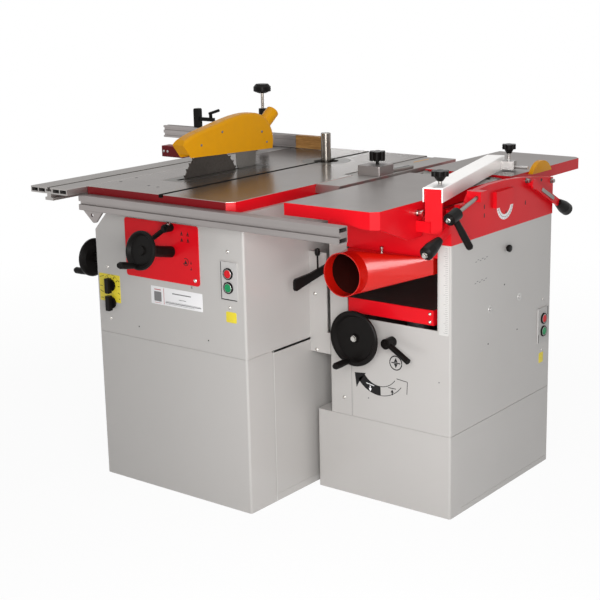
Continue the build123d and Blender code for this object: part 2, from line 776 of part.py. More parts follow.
# Arbor with flanges, nut and pulley
with BuildPart() as saw_arbor:
    bar((arbor_left, blade_y, blade_z), (1, 0, 0), arbor_radius, arbor_right - arbor_left)
    half = blade_thick / 2
    bar((blade_x - half - 6, blade_y, blade_z), (1, 0, 0), flange_radius, 6)
    bar((blade_x + half, blade_y, blade_z), (1, 0, 0), flange_radius, 8)
    with BuildSketch(Plane.YZ.offset(arbor_left + 2)):
        with Locations((blade_y, blade_z)):
            RegularPolygon(16, 6)
    extrude(amount=blade_x - half - 6 - arbor_left - 2)
    bar((pulley_x[0], blade_y, blade_z), (1, 0, 0), saw_pulley_radius, pulley_x[1] - pulley_x[0])
    turned((pulley_x[0] + 3, blade_y, blade_z), (1, 0, 0),
           [(saw_pulley_radius - belt_thick, 0), (saw_pulley_radius + 1, 0),
            (saw_pulley_radius + 1, pulley_groove), (saw_pulley_radius - belt_thick, pulley_groove)],
           Mode.SUBTRACT)

# Cradle: tongues in the trunnions, two end plates, a floor beam and two guide posts
with BuildPart() as saw_cradle:
    tongue_outer = trunnion_inner - running_gap
    tongue_inner = tongue_outer - cradle_tongue
    tongue_top = table_top - tongue_inner * sin(radians(38))
    reach = tongue_outer - 6
    for near, inboard in ((trunnion_front, 1), (trunnion_back, -1)):
        outer_face = near - inboard * (trunnion_thick / 2 - 1)
        inner_face = near + inboard * (trunnion_thick / 2 + 1)
        plate_face = inner_face + inboard * cradle_plate
        low, high = sorted((outer_face, plate_face))
        bar((blade_x, low, table_top), (0, 1, 0), tongue_outer, high - low)
        bar((blade_x, low - 1, table_top), (0, 1, 0), tongue_inner, high - low + 2, Mode.SUBTRACT)
        block(pair(blade_x, 3 * tongue_outer), (low - 1, high + 1),
              (tongue_top, table_top + 2 * tongue_outer), Mode.SUBTRACT)
        prism(
            Plane.XZ.offset(-high),
            [(blade_x - tongue_outer - 16, table_top), (blade_x - tongue_outer - 16, table_top - 87),
             (blade_x - 26, table_top - 87), (blade_x - 15, table_top)],
            high - low,
            Mode.SUBTRACT,
        )
    for near, inboard in ((trunnion_front, 1), (trunnion_back, -1)):
        inner_face = near + inboard * (trunnion_thick / 2 + 1)
        high = max(inner_face, inner_face + inboard * cradle_plate)
        prism(
            Plane.XZ.offset(-high),
            [(blade_x + 4, table_top - reach), (blade_x + reach * 0.72, table_top - reach * 0.69),
             (cradle_beam[1], table_top - 127), (cradle_beam[1], cradle_floor[0]),
             (cradle_beam[0], cradle_floor[0]), (cradle_beam[0], table_top - 157)],
            cradle_plate,
        )
    block(cradle_beam, (trunnion_front + trunnion_thick, trunnion_back - trunnion_thick), cradle_floor)
    for post_y in (cradle_post_front, cradle_post_back):
        bar((cradle_post_x, post_y, cradle_floor[1]), (0, 0, 1), cradle_post_radius,
            cradle_post_top - cradle_floor[1])

# Carriage: the arbor's housing, sleeves on the posts, the motor's saddle and the knife's lug
with BuildPart() as saw_carriage:
    bar((housing_left, blade_y, blade_z), (1, 0, 0), housing_radius, housing_right - housing_left)
    for post_y in (cradle_post_front, cradle_post_back):
        bar((cradle_post_x, post_y, sleeve_z[0]), (0, 0, 1), sleeve_radius, sleeve_z[1] - sleeve_z[0])
    beam_top = sleeve_z[1] + 8
    block(pair(cradle_post_x, 24), (cradle_post_front, cradle_post_back), (sleeve_z[0] + 50, beam_top))
    block((motor_x[0] + 20, motor_x[1] - 20), pair(blade_y, 70), (motor_z, beam_top))
    lug_y = (knife_front + 10, knife_back - 10)
    lug_z = (sleeve_z[0] + 45, sleeve_z[1] - 4)
    block((blade_x + knife_thick / 2, cradle_post_x - 18), lug_y, lug_z)
    block((cradle_post_x - 40, cradle_post_x), (lug_y[0], cradle_post_back), lug_z)
    bar((housing_left - 1, blade_y, blade_z), (1, 0, 0), arbor_radius + running_gap,
        housing_right - housing_left + 2, Mode.SUBTRACT)
    bar((motor_x[0] - 1, blade_y, motor_z), (1, 0, 0), motor_radius, motor_x[1] - motor_x[0] + 2,
        Mode.SUBTRACT)
    for post_y in (cradle_post_front, cradle_post_back):
        bar((cradle_post_x, post_y, sleeve_z[0] - 1), (0, 0, 1), cradle_post_radius + running_gap,
            beam_top - sleeve_z[0] + 2, Mode.SUBTRACT)

with BuildPart() as saw_motor:
    bar((motor_x[0], blade_y, motor_z), (1, 0, 0), motor_radius, motor_x[1] - motor_x[0])
    fillet(saw_motor.edges(), 6)
    bar((motor_x[1] - 20, blade_y, motor_z), (1, 0, 0), motor_shaft_radius + running_gap, 30, Mode.SUBTRACT)

with BuildPart() as motor_pulley:
    bar((motor_x[1] - 16, blade_y, motor_z), (1, 0, 0), motor_shaft_radius, pulley_x[1] - motor_x[1] + 16)
    bar((pulley_x[0], blade_y, motor_z), (1, 0, 0), motor_pulley_radius, pulley_x[1] - pulley_x[0])
    turned((pulley_x[0] + 3, blade_y, motor_z), (1, 0, 0),
           [(motor_pulley_radius - belt_thick, 0), (motor_pulley_radius + 1, 0),
            (motor_pulley_radius + 1, pulley_groove), (motor_pulley_radius - belt_thick, pulley_groove)],
           Mode.SUBTRACT)

# Belt: a flat loop round both pulleys, in their grooves
with BuildPart() as saw_belt:
    upper = saw_pulley_radius - belt_thick + running_gap
    lower = motor_pulley_radius - belt_thick + running_gap
    tilt = (lower - upper) / motor_drop
    across = sqrt(1 - tilt * tilt)
    for grow, keep in ((belt_thick, Mode.ADD), (0, Mode.SUBTRACT)):
        with BuildSketch(Plane.YZ.offset(pulley_x[0] + 4), mode=Mode.PRIVATE) as loop:
            with Locations((blade_y, blade_z)):
                Circle(upper + grow)
            with Locations((blade_y, motor_z)):
                Circle(lower + grow)
            sides = []
            for side in (1, -1):
                sides.append((
                    (blade_y + side * (upper + grow) * across, blade_z + (upper + grow) * tilt),
                    (blade_y + side * (lower + grow) * across, motor_z + (lower + grow) * tilt),
                ))
            with BuildLine():
                Polyline(sides[0][0], sides[0][1], sides[1][1], sides[1][0], close=True)
            make_face()
        extrude(loop.sketch, amount=belt_width, mode=keep)

# Riving knife behind the blade
with BuildPart() as riving_knife:
    with BuildSketch(Plane.YZ.offset(blade_x - knife_thick / 2)):
        with BuildLine():
            Polyline((knife_front - 4, knife_low), (knife_back - 8, knife_low), (knife_back, blade_z),
                     (knife_back + 12, knife_neck), (guard_pivot_y + 12, knife_neck + 20),
                     (guard_pivot_y + 12, knife_top), (knife_front + 6, knife_top),
                     (knife_front - 14, knife_neck + 13), close=True)
        make_face()
        with Locations((blade_y, blade_z)):
            Circle(blade_radius + knife_gap, mode=Mode.SUBTRACT)
        with Locations((guard_pivot_y, guard_pivot_z)):
            Circle(guard_pin_radius + running_gap, mode=Mode.SUBTRACT)
    extrude(amount=knife_thick)

# Guard over the blade: a hollow hood with a rounded back, open below, with a pin through the knife
# and a suction spout
near = kerf_front
far = guard_pivot_y
guard_back = [
    (near + 16, table_top + 112), (near + 48, table_top + 123), (near + 111, table_top + 136),
    (near + 183, table_top + 150), (far - 46, table_top + 161), (far, table_top + 153),
    (far + 40, table_top + 122), (far + 57, table_top + 82),
]
guard_hollow = [
    (near + 24, table_top + 104), (near + 52, table_top + 114), (near + 111, table_top + 127),
    (near + 183, table_top + 141), (far - 46, table_top + 152), (far - 4, table_top + 144),
    (far + 34, table_top + 114), (far + 50, table_top + 80),
]


def guard_shape(back, heel, toe, nose):
    """The guard's outline: a curved back, closed by straight lines through the heel, toe and nose."""
    with BuildSketch(Plane.YZ, mode=Mode.PRIVATE) as outline:
        with BuildLine():
            Spline(*back)
            Polyline(back[-1], heel, toe, nose, back[0])
        make_face()
    return outline.sketch


spout_start = (blade_x, guard_pivot_y + 9, guard_pivot_z + 22)
spout_line = (0, 0.8, 0.6)
with BuildPart() as saw_guard:
    with Locations((blade_x - guard_width / 2, 0, 0)):
        add(extrude(guard_shape(guard_back, (far + 51, table_top + 46), (near + 33, table_top + 60),
                                (near + 3, table_top + 98)),
                    amount=guard_width, mode=Mode.PRIVATE))
    fillet(saw_guard.edges().filter_by(GeomType.BSPLINE), guard_round)
    bar(spout_start, spout_line, spout_radius, spout_length)
    with Locations((blade_x - guard_width / 2 + guard_wall, 0, 0)):
        add(extrude(guard_shape(guard_hollow, (far + 47, table_top + 33), (near + 39, table_top + 33),
                                (near + 24, table_top + 74)),
                    amount=guard_width - 2 * guard_wall, mode=Mode.PRIVATE), mode=Mode.SUBTRACT)
    bar(along(spout_start, spout_line, -12), spout_line, spout_radius - guard_wall, spout_length + 26,
        Mode.SUBTRACT)
    inner = guard_width / 2 - guard_wall
    for side in (1, -1):
        bar((blade_x + side * inner, guard_pivot_y, guard_pivot_z), (-side, 0, 0), guard_boss_radius,
            inner - knife_thick / 2 - running_gap)
    bar((blade_x - inner, guard_pivot_y, guard_pivot_z), (1, 0, 0), guard_pin_radius, 2 * inner)

# Handwheels and the panel's clamping lever
with BuildPart() as saw_handwheel:
    handwheel(rise_start, rise_out, rise_wheel_radius, rise_reach, rise_inside, 7,
              (-0.2, -sin(radians(wheel_tilt)), -cos(radians(wheel_tilt))))
with BuildPart() as tilt_handwheel:
    handwheel((saw_left, tilt_shaft_y, tilt_shaft_z), (-1, 0, 0), tilt_wheel_radius, tilt_reach,
              tilt_inside, 7, (0, -0.3, -1))
with BuildPart() as panel_lever:
    face = saw_front - panel_thick
    bar((panel_lever_x, saw_front + 20, panel_lever_z), (0, -1, 0), pin_radius, 20 + panel_thick)
    bar((panel_lever_x, face, panel_lever_z), (0, -1, 0), 11, 26)
    bar((panel_lever_x, face - 20, panel_lever_z), (-0.75, -0.3, -0.6), 6.5, 52)
    bar((panel_lever_x, face - 26, panel_lever_z), (0, -1, 0), 6, 5)

# Moulder: the quill in its housing and the spindle in the quill
with BuildPart() as moulder_quill:
    bar((spindle_x, spindle_y, quill_z[0]), (0, 0, 1), quill_radius, quill_z[1] - quill_z[0])
    bar((spindle_x, spindle_y, quill_z[0] - 1), (0, 0, 1), spindle_radius + running_gap,
        quill_z[1] - quill_z[0] + 2, Mode.SUBTRACT)
with BuildPart() as moulder_spindle:
    bar((spindle_x, spindle_y, spindle_bottom), (0, 0, 1), spindle_radius, spindle_top - spindle_bottom)
    chamfer(moulder_spindle.faces().sort_by(Axis.Z)[-1].edges(), 1.5)
    bar((spindle_x, spindle_y, quill_z[1] + running_gap), (0, 0, 1), collar_flange_radius, 8)
    bar((spindle_x, spindle_y, spindle_bottom + 6), (0, 0, 1), moulder_pulley_radius, 30)

# Planer plinth and cabinet
with BuildPart() as planer_plinth:
    block((planer_plinth_left, planer_right), (planer_front, planer_back), (0, planer_seam))
    fillet(planer_plinth.edges().filter_by(Axis.Z), bend_radius)
    block((planer_plinth_left + sheet, planer_right - sheet), (planer_front + sheet, planer_back - sheet),
          (sheet, planer_seam - sheet), Mode.SUBTRACT)
    block(belt_opening_x, belt_opening_y, (planer_seam - sheet, planer_seam), Mode.SUBTRACT)
    block((planer_right - lap_depth, planer_right), (planer_lap_front, planer_back - bend_radius),
          (lap_border, planer_seam - lap_border), Mode.SUBTRACT)

with BuildPart() as planer_cabinet:
    block((planer_left, planer_right), (planer_front, planer_back), (planer_seam, planer_top))
    fillet(planer_cabinet.edges().filter_by(Axis.Z), bend_radius)
    block((planer_left + sheet, planer_right - sheet), (planer_front + sheet, planer_back - sheet),
          (planer_seam, planer_top + 1), Mode.SUBTRACT)
    block(opening_x, (planer_front - 1, planer_back + 1), (opening_low, planer_top + 1), Mode.SUBTRACT)
    block((planer_right - 10, planer_right + 1), pair(side_switch_y, switch_box_width),
          pair(side_switch_z, switch_box_height), Mode.SUBTRACT)
    bar((bed_wheel_x, planer_front - 1, bed_wheel_z), (0, 1, 0), shaft_radius + running_gap, 20,
        Mode.SUBTRACT)
    bar((bed_lock_x, planer_front - 1, bed_lock_z), (0, 1, 0), pin_radius + running_gap, 20, Mode.SUBTRACT)
    bar((planer_left - 1, feed_pivot_y, feed_pivot_z), (1, 0, 0), pin_radius + running_gap, 20, Mode.SUBTRACT)
    groove = planer_seam + seam_height
    block((planer_left, planer_right), (planer_front, planer_front + seam_groove), (planer_seam, groove),
          Mode.SUBTRACT)
    block((planer_right - seam_groove, planer_right), (planer_front, planer_back), (planer_seam, groove),
          Mode.SUBTRACT)

# Red planer body: two cheeks, cross members, the tables' ledge, bearings and the hinge rod
with BuildPart() as planer_body:
    for left in (planer_left, planer_right - cheek_thick):
        block((left, left + cheek_thick), (planer_front, planer_back), (planer_top, cheek_top))
    block((planer_left, planer_left + cheek_thick), (planer_front, planer_back),
          (cheek_top - cheek_step, cheek_top), Mode.SUBTRACT)
    # the right cheek rises above the tables in a long low arch
    prism(
        Plane.YZ.offset(planer_right - cheek_thick),
        [(infeed_pivot_y + 20, cheek_top), (infeed_pivot_y + 43, table_top + 11),
         (cutter_y - 212, table_top + 19), (cutter_y - 130, table_top + 19),
         (cutter_y - 39, table_top + 14), (cutter_y + 39, table_top + 5),
         (planer_back, table_top - 9), (planer_back, cheek_top)],
        cheek_thick,
    )
    for near in (planer_front, planer_back - member_thick):
        block((planer_left, planer_right), (near, near + member_thick), member_z)
    # apron over the dust hood
    block((opening_x[0] + apron_gap, opening_x[1] - apron_gap), (planer_front, planer_front + member_thick),
          (chute_z[1], member_z[0]))
    infeed_ledge = planer_rim_low - depth_travel - running_gap
    for low, high, seat in ((planer_front, cutter_y - ledge_clear, infeed_ledge),
                            (cutter_y + ledge_clear, planer_back, planer_rim_low)):
        block(ledge_x, (low, high), (member_z[0] + 20, seat))
        block((ledge_x[0], planer_right), (low, high), (member_z[0] + 20, member_z[1] - 14))
    for near in frame_lug_y:
        block((planer_left, hinge_x + 6), pair(near, lug_width), (cheek_top - 30, hinge_z - 4))
        bar((hinge_x, near - lug_width / 2, hinge_z), (0, 1, 0), lug_radius - 1, lug_width)
    bar((hinge_x, frame_lug_y[0] - lug_width / 2, hinge_z), (0, 1, 0), hinge_radius,
        outfeed_lug_y[-1] + lug_width / 2 - frame_lug_y[0] + lug_width / 2)
    # boss above the crescent scale
    block((planer_right - 6, planer_right + scale_boss_out), scale_boss_y, scale_boss_z)
    # lugs of the lock levers and of the depth rod
    for pivot_y, pivot_z in ((infeed_pivot_y, infeed_pivot_z), (outfeed_pivot_y, outfeed_pivot_z)):
        block((planer_right - cheek_thick, planer_right), pair(pivot_y, 34), (cheek_top - 30, pivot_z + 14))
        bar((planer_right - 1, pivot_y, pivot_z), (1, 0, 0), lever_pin_radius,
            lever_x - planer_right + lever_thick + 1)
    depth_line = (0, cos(radians(depth_rise)), sin(radians(depth_rise)))
    depth_start = (depth_x, depth_hub_y, depth_hub_z)
    lug_centre = along(depth_start, depth_line, depth_lug_at)
    block((planer_right - 1, depth_x + 12), pair(lug_centre[1] + 6, depth_lug_width), pair(lug_centre[2], 26))
    bar(depth_start, depth_line, depth_rod_radius + running_gap, 2 * depth_lug_at, Mode.SUBTRACT)
    inside = planer_right - planer_left - bearing_skin + 1
    bar((planer_left - 1, cutter_y, cutter_z), (1, 0, 0), journal_radius + running_gap, inside, Mode.SUBTRACT)
    for side in (1, -1):
        bar((planer_left - 1, cutter_y + side * roller_reach, roller_z), (1, 0, 0),
            roller_journal_radius + running_gap, inside, Mode.SUBTRACT)

# Dust hood: a round mouth that flattens into a chute under the cutterblock
with BuildPart() as dust_hood:
    waist = mouth_y + mouth_straight
    chute_middle = ((chute_x[0] + chute_x[1]) / 2, (chute_z[0] + chute_z[1]) / 2)
    chute_width = chute_x[1] - chute_x[0]
    chute_height = chute_z[1] - chute_z[0]
    bar((mouth_x, mouth_y, mouth_z), (0, 1, 0), mouth_radius, mouth_straight)
    block(chute_x, (planer_front, chute_back), chute_z)
    for inset, keep in ((0, Mode.ADD), (hood_wall, Mode.SUBTRACT)):
        radius = mouth_radius - inset
        with BuildSketch(Plane.XZ.offset(-waist)):
            with Locations((mouth_x, mouth_z)):
                RectangleRounded(2 * radius + 0.2, 2 * radius + 0.2, radius)
        with BuildSketch(Plane.XZ.offset(-planer_front)):
            with Locations(chute_middle):
                RectangleRounded(chute_width - 2 * inset, chute_height - 2 * inset, hood_edge)
        loft(mode=keep)
    bar((mouth_x, mouth_y - 1, mouth_z), (0, 1, 0), mouth_radius - hood_wall, mouth_straight + 1,
        Mode.SUBTRACT)
    block((chute_x[0] + hood_wall, chute_x[1] - hood_wall), (planer_front, chute_back - hood_wall),
          (chute_z[0] + hood_wall, chute_z[1] - hood_wall), Mode.SUBTRACT)
    block((chute_x[0] + hood_wall, chute_x[1] - hood_wall), (chute_mouth_front, chute_back - hood_wall),
          (chute_z[1] - 10, chute_z[1] + 1), Mode.SUBTRACT)


def table_shell(y, outer, lowest):
    """A planer table: a rimmed plate, its outer right corner cut off, with a flange on its left edge."""
    right = planer_table_x[1]
    inward = 1 if outer == y[0] else -1
    block(planer_table_x, y, (planer_rim_low, table_top))
    block((planer_table_x[0] + planer_rim, right - planer_rim), (y[0] + planer_rim, y[1] - planer_rim),
          (planer_rim_low - 1, plate_low), Mode.SUBTRACT)
    for low, size, mode in ((planer_rim_low, corner_cut + 2 * planer_rim, Mode.ADD),
                            (lowest - 1, corner_cut, Mode.SUBTRACT)):
        prism(
            Plane.XY.offset(low),
            [(right - size, outer), (right, outer), (right, outer + inward * size)],
            table_top - low,
            mode,
        )
    flange_x = (planer_table_x[0] - flange_width, planer_table_x[0])
    block(flange_x, y, (table_top - flange_thick, table_top))
    block(flange_x, sorted((outer, outer + inward * planer_rim)), (planer_rim_low, table_top))


def knuckles(places, drop):
    """Lugs on a table's left edge that turn on the hinge rod, slotted upwards where the table drops."""
    bore = hinge_radius + running_gap
    for near in places:
        bar((hinge_x, near - lug_width / 2, hinge_z), (0, 1, 0), lug_radius, lug_width)
        block((hinge_x, planer_table_x[0]), pair(near, lug_width), (hinge_z - 8, hinge_z + 8))
        for level in (hinge_z, hinge_z + drop):
            bar((hinge_x, near - lug_width, level), (0, 1, 0), bore, 2 * lug_width, Mode.SUBTRACT)
        if drop > 0:
            block(pair(hinge_x, 2 * bore), pair(near, 2 * lug_width), (hinge_z, hinge_z + drop),
                  Mode.SUBTRACT)


# Infeed table, with the deep web under its right front edge
with BuildPart() as infeed_table:
    right = planer_table_x[1]
    prism(
        Plane.YZ.offset(right - planer_rim),
        [(infeed_y[0], planer_rim_low), (infeed_y[0], nose_low), (infeed_y[0] + nose_length, nose_low),
         (web_y, web_low), (web_back, web_low), (web_back, planer_rim_low)],
        planer_rim,
    )
    prism(
        Plane.XZ.offset(-(infeed_y[0] + planer_rim)),
        [(lip_x[0], planer_rim_low), (lip_x[1], lip_low), (right, nose_low), (right, planer_rim_low)],
        planer_rim,
    )
    table_shell(infeed_y, infeed_y[0], web_low)
    block((planer_table_x[0] - 1, right + 1), (infeed_y[1] - table_relief, infeed_y[1] + 1),
          (planer_rim_low - 1, plate_low), Mode.SUBTRACT)
    knuckles(infeed_lug_y, depth_travel)

with BuildPart() as outfeed_table:
    table_shell(outfeed_y, outfeed_y[1], planer_rim_low)
    block((planer_table_x[0] - 1, planer_table_x[1] + 1), (outfeed_y[0] - 1, outfeed_y[0] + table_relief),
          (planer_rim_low - 1, plate_low), Mode.SUBTRACT)
    knuckles(outfeed_lug_y, 0)

# Yellow end cap on the outfeed table's right edge
with BuildPart() as end_cap:
    bar((planer_table_x[1], cap_y, cap_z[1] - cap_radius), (1, 0, 0), cap_radius, cap_width)
    block((planer_table_x[1] - 1, planer_table_x[1] + cap_width + 1), pair(cap_y, 3 * cap_radius),
          (cap_z[1] - 3 * cap_radius, cap_z[0]), Mode.SUBTRACT)

# Bridge guard's upright on the infeed table's side, then the guard with its knobs and clamp block
swing = radians(bridge_angle)
bridge_line = (-sin(swing), cos(swing), 0)
bridge_across = (cos(swing), sin(swing), 0)
bridge_near = (bridge_near_x, bridge_near_y, 0)
upright_at = along(bridge_near, bridge_line, upright_inset)
bridge_plane = Plane(origin=bridge_near, x_dir=bridge_across, z_dir=(0, 0, 1))
with BuildPart() as guard_upright:
    with Locations(Plane(origin=(upright_at[0], upright_at[1], 0), x_dir=bridge_across, z_dir=(0, 0, 1))):
        with Locations((0, 0, (upright_low + upright_top) / 2)):
            Box(upright_width, upright_thick, upright_top - upright_low)
    block((planer_table_x[1], upright_at[0] - 6), pair(upright_at[1] - 4, 12), upright_arm_z)
    bar((upright_at[0], upright_at[1], upright_top - 20), (0, 0, 1), bridge_pin_radius,
        20 + running_gap + bridge_wall)


def knob(start, stem, radius, height):
    """A lobed clamping knob with a tapered neck, on a stem that stands up from start."""
    neck = start[2] + stem
    head = neck + height / 2
    round_radius = radius - lobe_radius + 1
    bar(start, (0, 0, 1), pin_radius, stem + 1)
    turned((start[0], start[1], neck), (0, 0, 1),
           [(0, 0), (radius / 3, 0), (round_radius, height / 2), (0, height / 2)])
    with BuildSketch(Plane.XY.offset(head), mode=Mode.PRIVATE) as star:
        with Locations((start[0], start[1])):
            Circle(round_radius)
            with PolarLocations(radius - lobe_radius, lobes):
                Circle(lobe_radius)
    extrude(star.sketch, amount=height / 2)


block_width, block_length, block_height = clamp_block
block_side = (bridge_width + block_width) / 2 - 0.5
block_at = bridge_length - block_length / 2 - 6
far_block = along(along(bridge_near, bridge_line, block_at), bridge_across, block_side)
near_knob = along(bridge_near, bridge_line, 62)
with BuildPart() as bridge_guard:
    with Locations(bridge_plane):
        with Locations((0, bridge_length / 2, (bridge_z[0] + bridge_z[1]) / 2)):
            Box(bridge_width, bridge_length, bridge_z[1] - bridge_z[0])
    fillet(bridge_guard.faces().sort_by(Axis.Z)[-1].edges(), 2.5)
    with Locations(bridge_plane):
        with Locations((0, bridge_length / 2, (bridge_z[0] + bridge_z[1]) / 2 - bridge_wall)):
            Box(bridge_width - 2 * bridge_wall, bridge_length + 2, bridge_z[1] - bridge_z[0],
                mode=Mode.SUBTRACT)
    with Locations(bridge_plane):
        with Locations((block_side, block_at, bridge_z[0] + block_height / 2)):
            Box(block_width, block_length, block_height)
    bar((upright_at[0], upright_at[1], bridge_z[1] - bridge_wall - 1), (0, 0, 1),
        bridge_pin_radius + running_gap, bridge_wall + 2, Mode.SUBTRACT)
    knob((near_knob[0], near_knob[1], bridge_z[1] - 1), 9, bridge_knob_radius, bridge_knob_height)
    knob((far_block[0], far_block[1], bridge_z[0] + block_height - 1), 22, block_knob_radius,
         bridge_knob_height)
    bar((far_block[0], far_block[1], bridge_z[0] + block_height / 3), (1, 0, 0), pin_radius, clamp_rod_length)

# Cutterblock and feed rollers between the cheeks
journal_length = planer_right - planer_left - bearing_skin - 3
with BuildPart() as cutterblock:
    bar((planer_left + 2, cutter_y, cutter_z), (1, 0, 0), journal_radius, journal_length)
    bar((cutter_x[0], cutter_y, cutter_z), (1, 0, 0), cutter_radius - 1, cutter_x[1] - cutter_x[0])
    with Locations(Plane(origin=(cutter_x[0], cutter_y, cutter_z), z_dir=(1, 0, 0))):
        with PolarLocations(cutter_radius - 5, 3):
            Box(10, 4, cutter_x[1] - cutter_x[0], align=(Align.CENTER, Align.CENTER, Align.MIN))


def roller(y):
    bar((planer_left + 2, y, roller_z), (1, 0, 0), roller_journal_radius, journal_length)
    bar((cutter_x[0], y, roller_z), (1, 0, 0), roller_radius, cutter_x[1] - cutter_x[0])


with BuildPart() as infeed_roller:
    roller(cutter_y - roller_reach)
with BuildPart() as outfeed_roller:
    roller(cutter_y + roller_reach)


def lock_lever(pivot_y, pivot_z, reach):
    """A flat bar from its pivot with a round black grip at its end."""
    reach_y, reach_z = reach
    line = Vector(0, reach_y, reach_z)
    length = line.length
    plane = Plane(origin=(lever_x, pivot_y, pivot_z), x_dir=tuple(line), z_dir=(1, 0, 0))
    with Locations(plane):
        with Locations((length / 2, 0, lever_thick / 2)):
            Box(length, lever_width, lever_thick)
        Cylinder(lever_hub_radius, lever_thick, align=(Align.CENTER, Align.CENTER, Align.MIN))
        Cylinder(lever_pin_radius + running_gap, 4 * lever_thick, mode=Mode.SUBTRACT)
    turned(
        (lever_x + lever_thick / 2, pivot_y + reach_y * 0.92, pivot_z + reach_z * 0.92), tuple(line),
        [(0, 0), (11, 0), (lever_grip_radius - 4, 14), (lever_grip_radius, 40),
         (lever_grip_radius, lever_grip_length - 6), (lever_grip_radius - 5, lever_grip_length),
         (0, lever_grip_length)],
    )


with BuildPart() as infeed_lock_lever:
    lock_lever(infeed_pivot_y, infeed_pivot_z, infeed_lock_reach)
with BuildPart() as outfeed_lock_lever:
    lock_lever(outfeed_pivot_y, outfeed_pivot_z, outfeed_lock_reach)

# Depth lever: an inclined rod in its lug with a clamping handle at the near end
with BuildPart() as depth_lever:
    bar(depth_start, depth_line, depth_rod_radius, depth_rod_length)
    bar(along(depth_start, depth_line, depth_hub[0]), depth_line, depth_hub_radius,
        depth_hub[1] - depth_hub[0])
    handle_line = (0.25, 0.42, -0.87)
    turned(depth_start, handle_line,
           [(0, 0), (8.5, 0), (8.5, 30), (9.5, 50), (9.5, 93), (7, 98), (0, 98)])

# Thicknesser table with its collars, on two lift columns
with BuildPart() as thicknesser_table:
    block(bed_x, bed_y, (bed_top - bed_thick, bed_top))
    plate_under = bed_top - bed_plate
    block((bed_x[0] + bed_rim, bed_x[1] - bed_rim), (bed_y[0] + bed_rim, bed_y[1] - bed_rim),
          (bed_top - bed_thick - 1, plate_under), Mode.SUBTRACT)
    for near in column_y:
        bar((column_x, near, collar_low), (0, 0, 1), collar_radius, plate_under - collar_low)
        bar((column_x, near, collar_low - 1), (0, 0, 1), column_radius + running_gap,
            plate_under - collar_low + 1, Mode.SUBTRACT)
    fillet(thicknesser_table.edges().filter_by(Axis.X).group_by(Axis.Y)[0], 3)
with BuildPart() as lift_columns:
    for near in column_y:
        bar((column_x, near, planer_seam), (0, 0, 1), column_radius, column_top - planer_seam)

with BuildPart() as thicknesser_handwheel:
    handwheel((bed_wheel_x, planer_front, bed_wheel_z), (0, -1, 0), bed_wheel_radius, bed_wheel_reach,
              bed_wheel_inside, 11, (-0.25, 0, -1))
with BuildPart() as thicknesser_lock:
    bar((bed_lock_x, planer_front + 20, bed_lock_z), (0, -1, 0), pin_radius, 21)
    bar((bed_lock_x, planer_front - 1, bed_lock_z), (0, -1, 0), 14, 34)
    bar((bed_lock_x, planer_front - 24, bed_lock_z), (0.9, -0.25, -0.36), 8, 88)
    bar((bed_lock_x, planer_front - 35, bed_lock_z), (0, -1, 0), 7, 3)

# Feed lever: a flat bar on the planer cabinet's left wall, wider at its end
with BuildPart() as feed_lever:
    bar((planer_left + 14, feed_pivot_y, feed_pivot_z), (-1, 0, 0), pin_radius, 15)
    prism(
        Plane.YZ.offset(planer_left - feed_lever_thick - 1),
        [(feed_pivot_y + 12, feed_pivot_z + 10), (feed_pivot_y + 12, feed_pivot_z - 10),
         (feed_pivot_y - 110, feed_pivot_z - 33), (feed_pivot_y - feed_lever_length, feed_pivot_z - 48),
         (feed_pivot_y - feed_lever_length, feed_pivot_z - 14), (feed_pivot_y - 110, feed_pivot_z - 10)],
        feed_lever_thick,
    )
    fillet(feed_lever.edges().filter_by(Axis.X).group_by(Axis.Y)[0], 8)

# Filler rail between the saw and planer tables, with the fence carriage and its lobed knob
with BuildPart() as filler_rail:
    block(filler_x, filler_y, (table_top - filler_thick, table_top))
    fillet(filler_rail.faces().sort_by(Axis.Z)[-1].edges().filter_by(Axis.Y), 1)
    filler_low = table_top - filler_thick
    block((saw_table_right, filler_x[0]), (filler_y[0], saw_table_step_y), (filler_low, table_top - 6))
    block((saw_table_step, filler_x[0]), (saw_table_step_y, filler_y[1]), (filler_low, table_top - 2))
carriage_top = table_top + carriage_height
knob_seat = (carriage_x[0] + 34, carriage_y[1] - 22)
with BuildPart() as fence_carriage:
    block(carriage_x, carriage_y, (table_top + running_gap, carriage_top))
    fillet(fence_carriage.edges().filter_by(Axis.Z), 4)
    bar((knob_seat[0], knob_seat[1], carriage_top - 12), (0, 0, 1), pin_radius + running_gap, 20,
        Mode.SUBTRACT)
with BuildPart() as carriage_knob:
    knob_under, knob_over = lobed_knob_z
    bar((knob_seat[0], knob_seat[1], carriage_top - 10), (0, 0, 1), pin_radius, knob_under + 12)
    with BuildSketch(Plane.XY.offset(carriage_top + knob_under)):
        with Locations(knob_seat):
            Circle(lobe_circle + 1)
            with PolarLocations(lobe_circle, lobes):
                Circle(lobe_radius)
    extrude(amount=knob_over - knob_under)

# Joining strip between the two cabinets
with BuildPart() as joining_strip:
    strip_thick = strip_y[1] - strip_y[0]
    block((saw_right, saw_right + strip_width), strip_y, strip_z)
    block((saw_right, saw_right + strip_thick), (strip_y[1], strip_y[1] + strip_flange), strip_z)
    block((saw_right + strip_width, planer_left), strip_y, (strip_z[0], strip_z[0] + strip_link))

# Planer motor on the plinth's floor
with BuildPart() as planer_motor:
    motor_at_x, motor_at_y, motor_at_z = motor_centre
    foot_x, foot_y, foot_height = motor_foot
    motor_start = motor_at_x - planer_motor_length / 2
    bar((motor_start, motor_at_y, motor_at_z), (1, 0, 0), planer_motor_radius, planer_motor_length)
    fillet(planer_motor.edges(), 8)
    block(pair(motor_at_x, foot_x), pair(motor_at_y, foot_y), (sheet, foot_height))

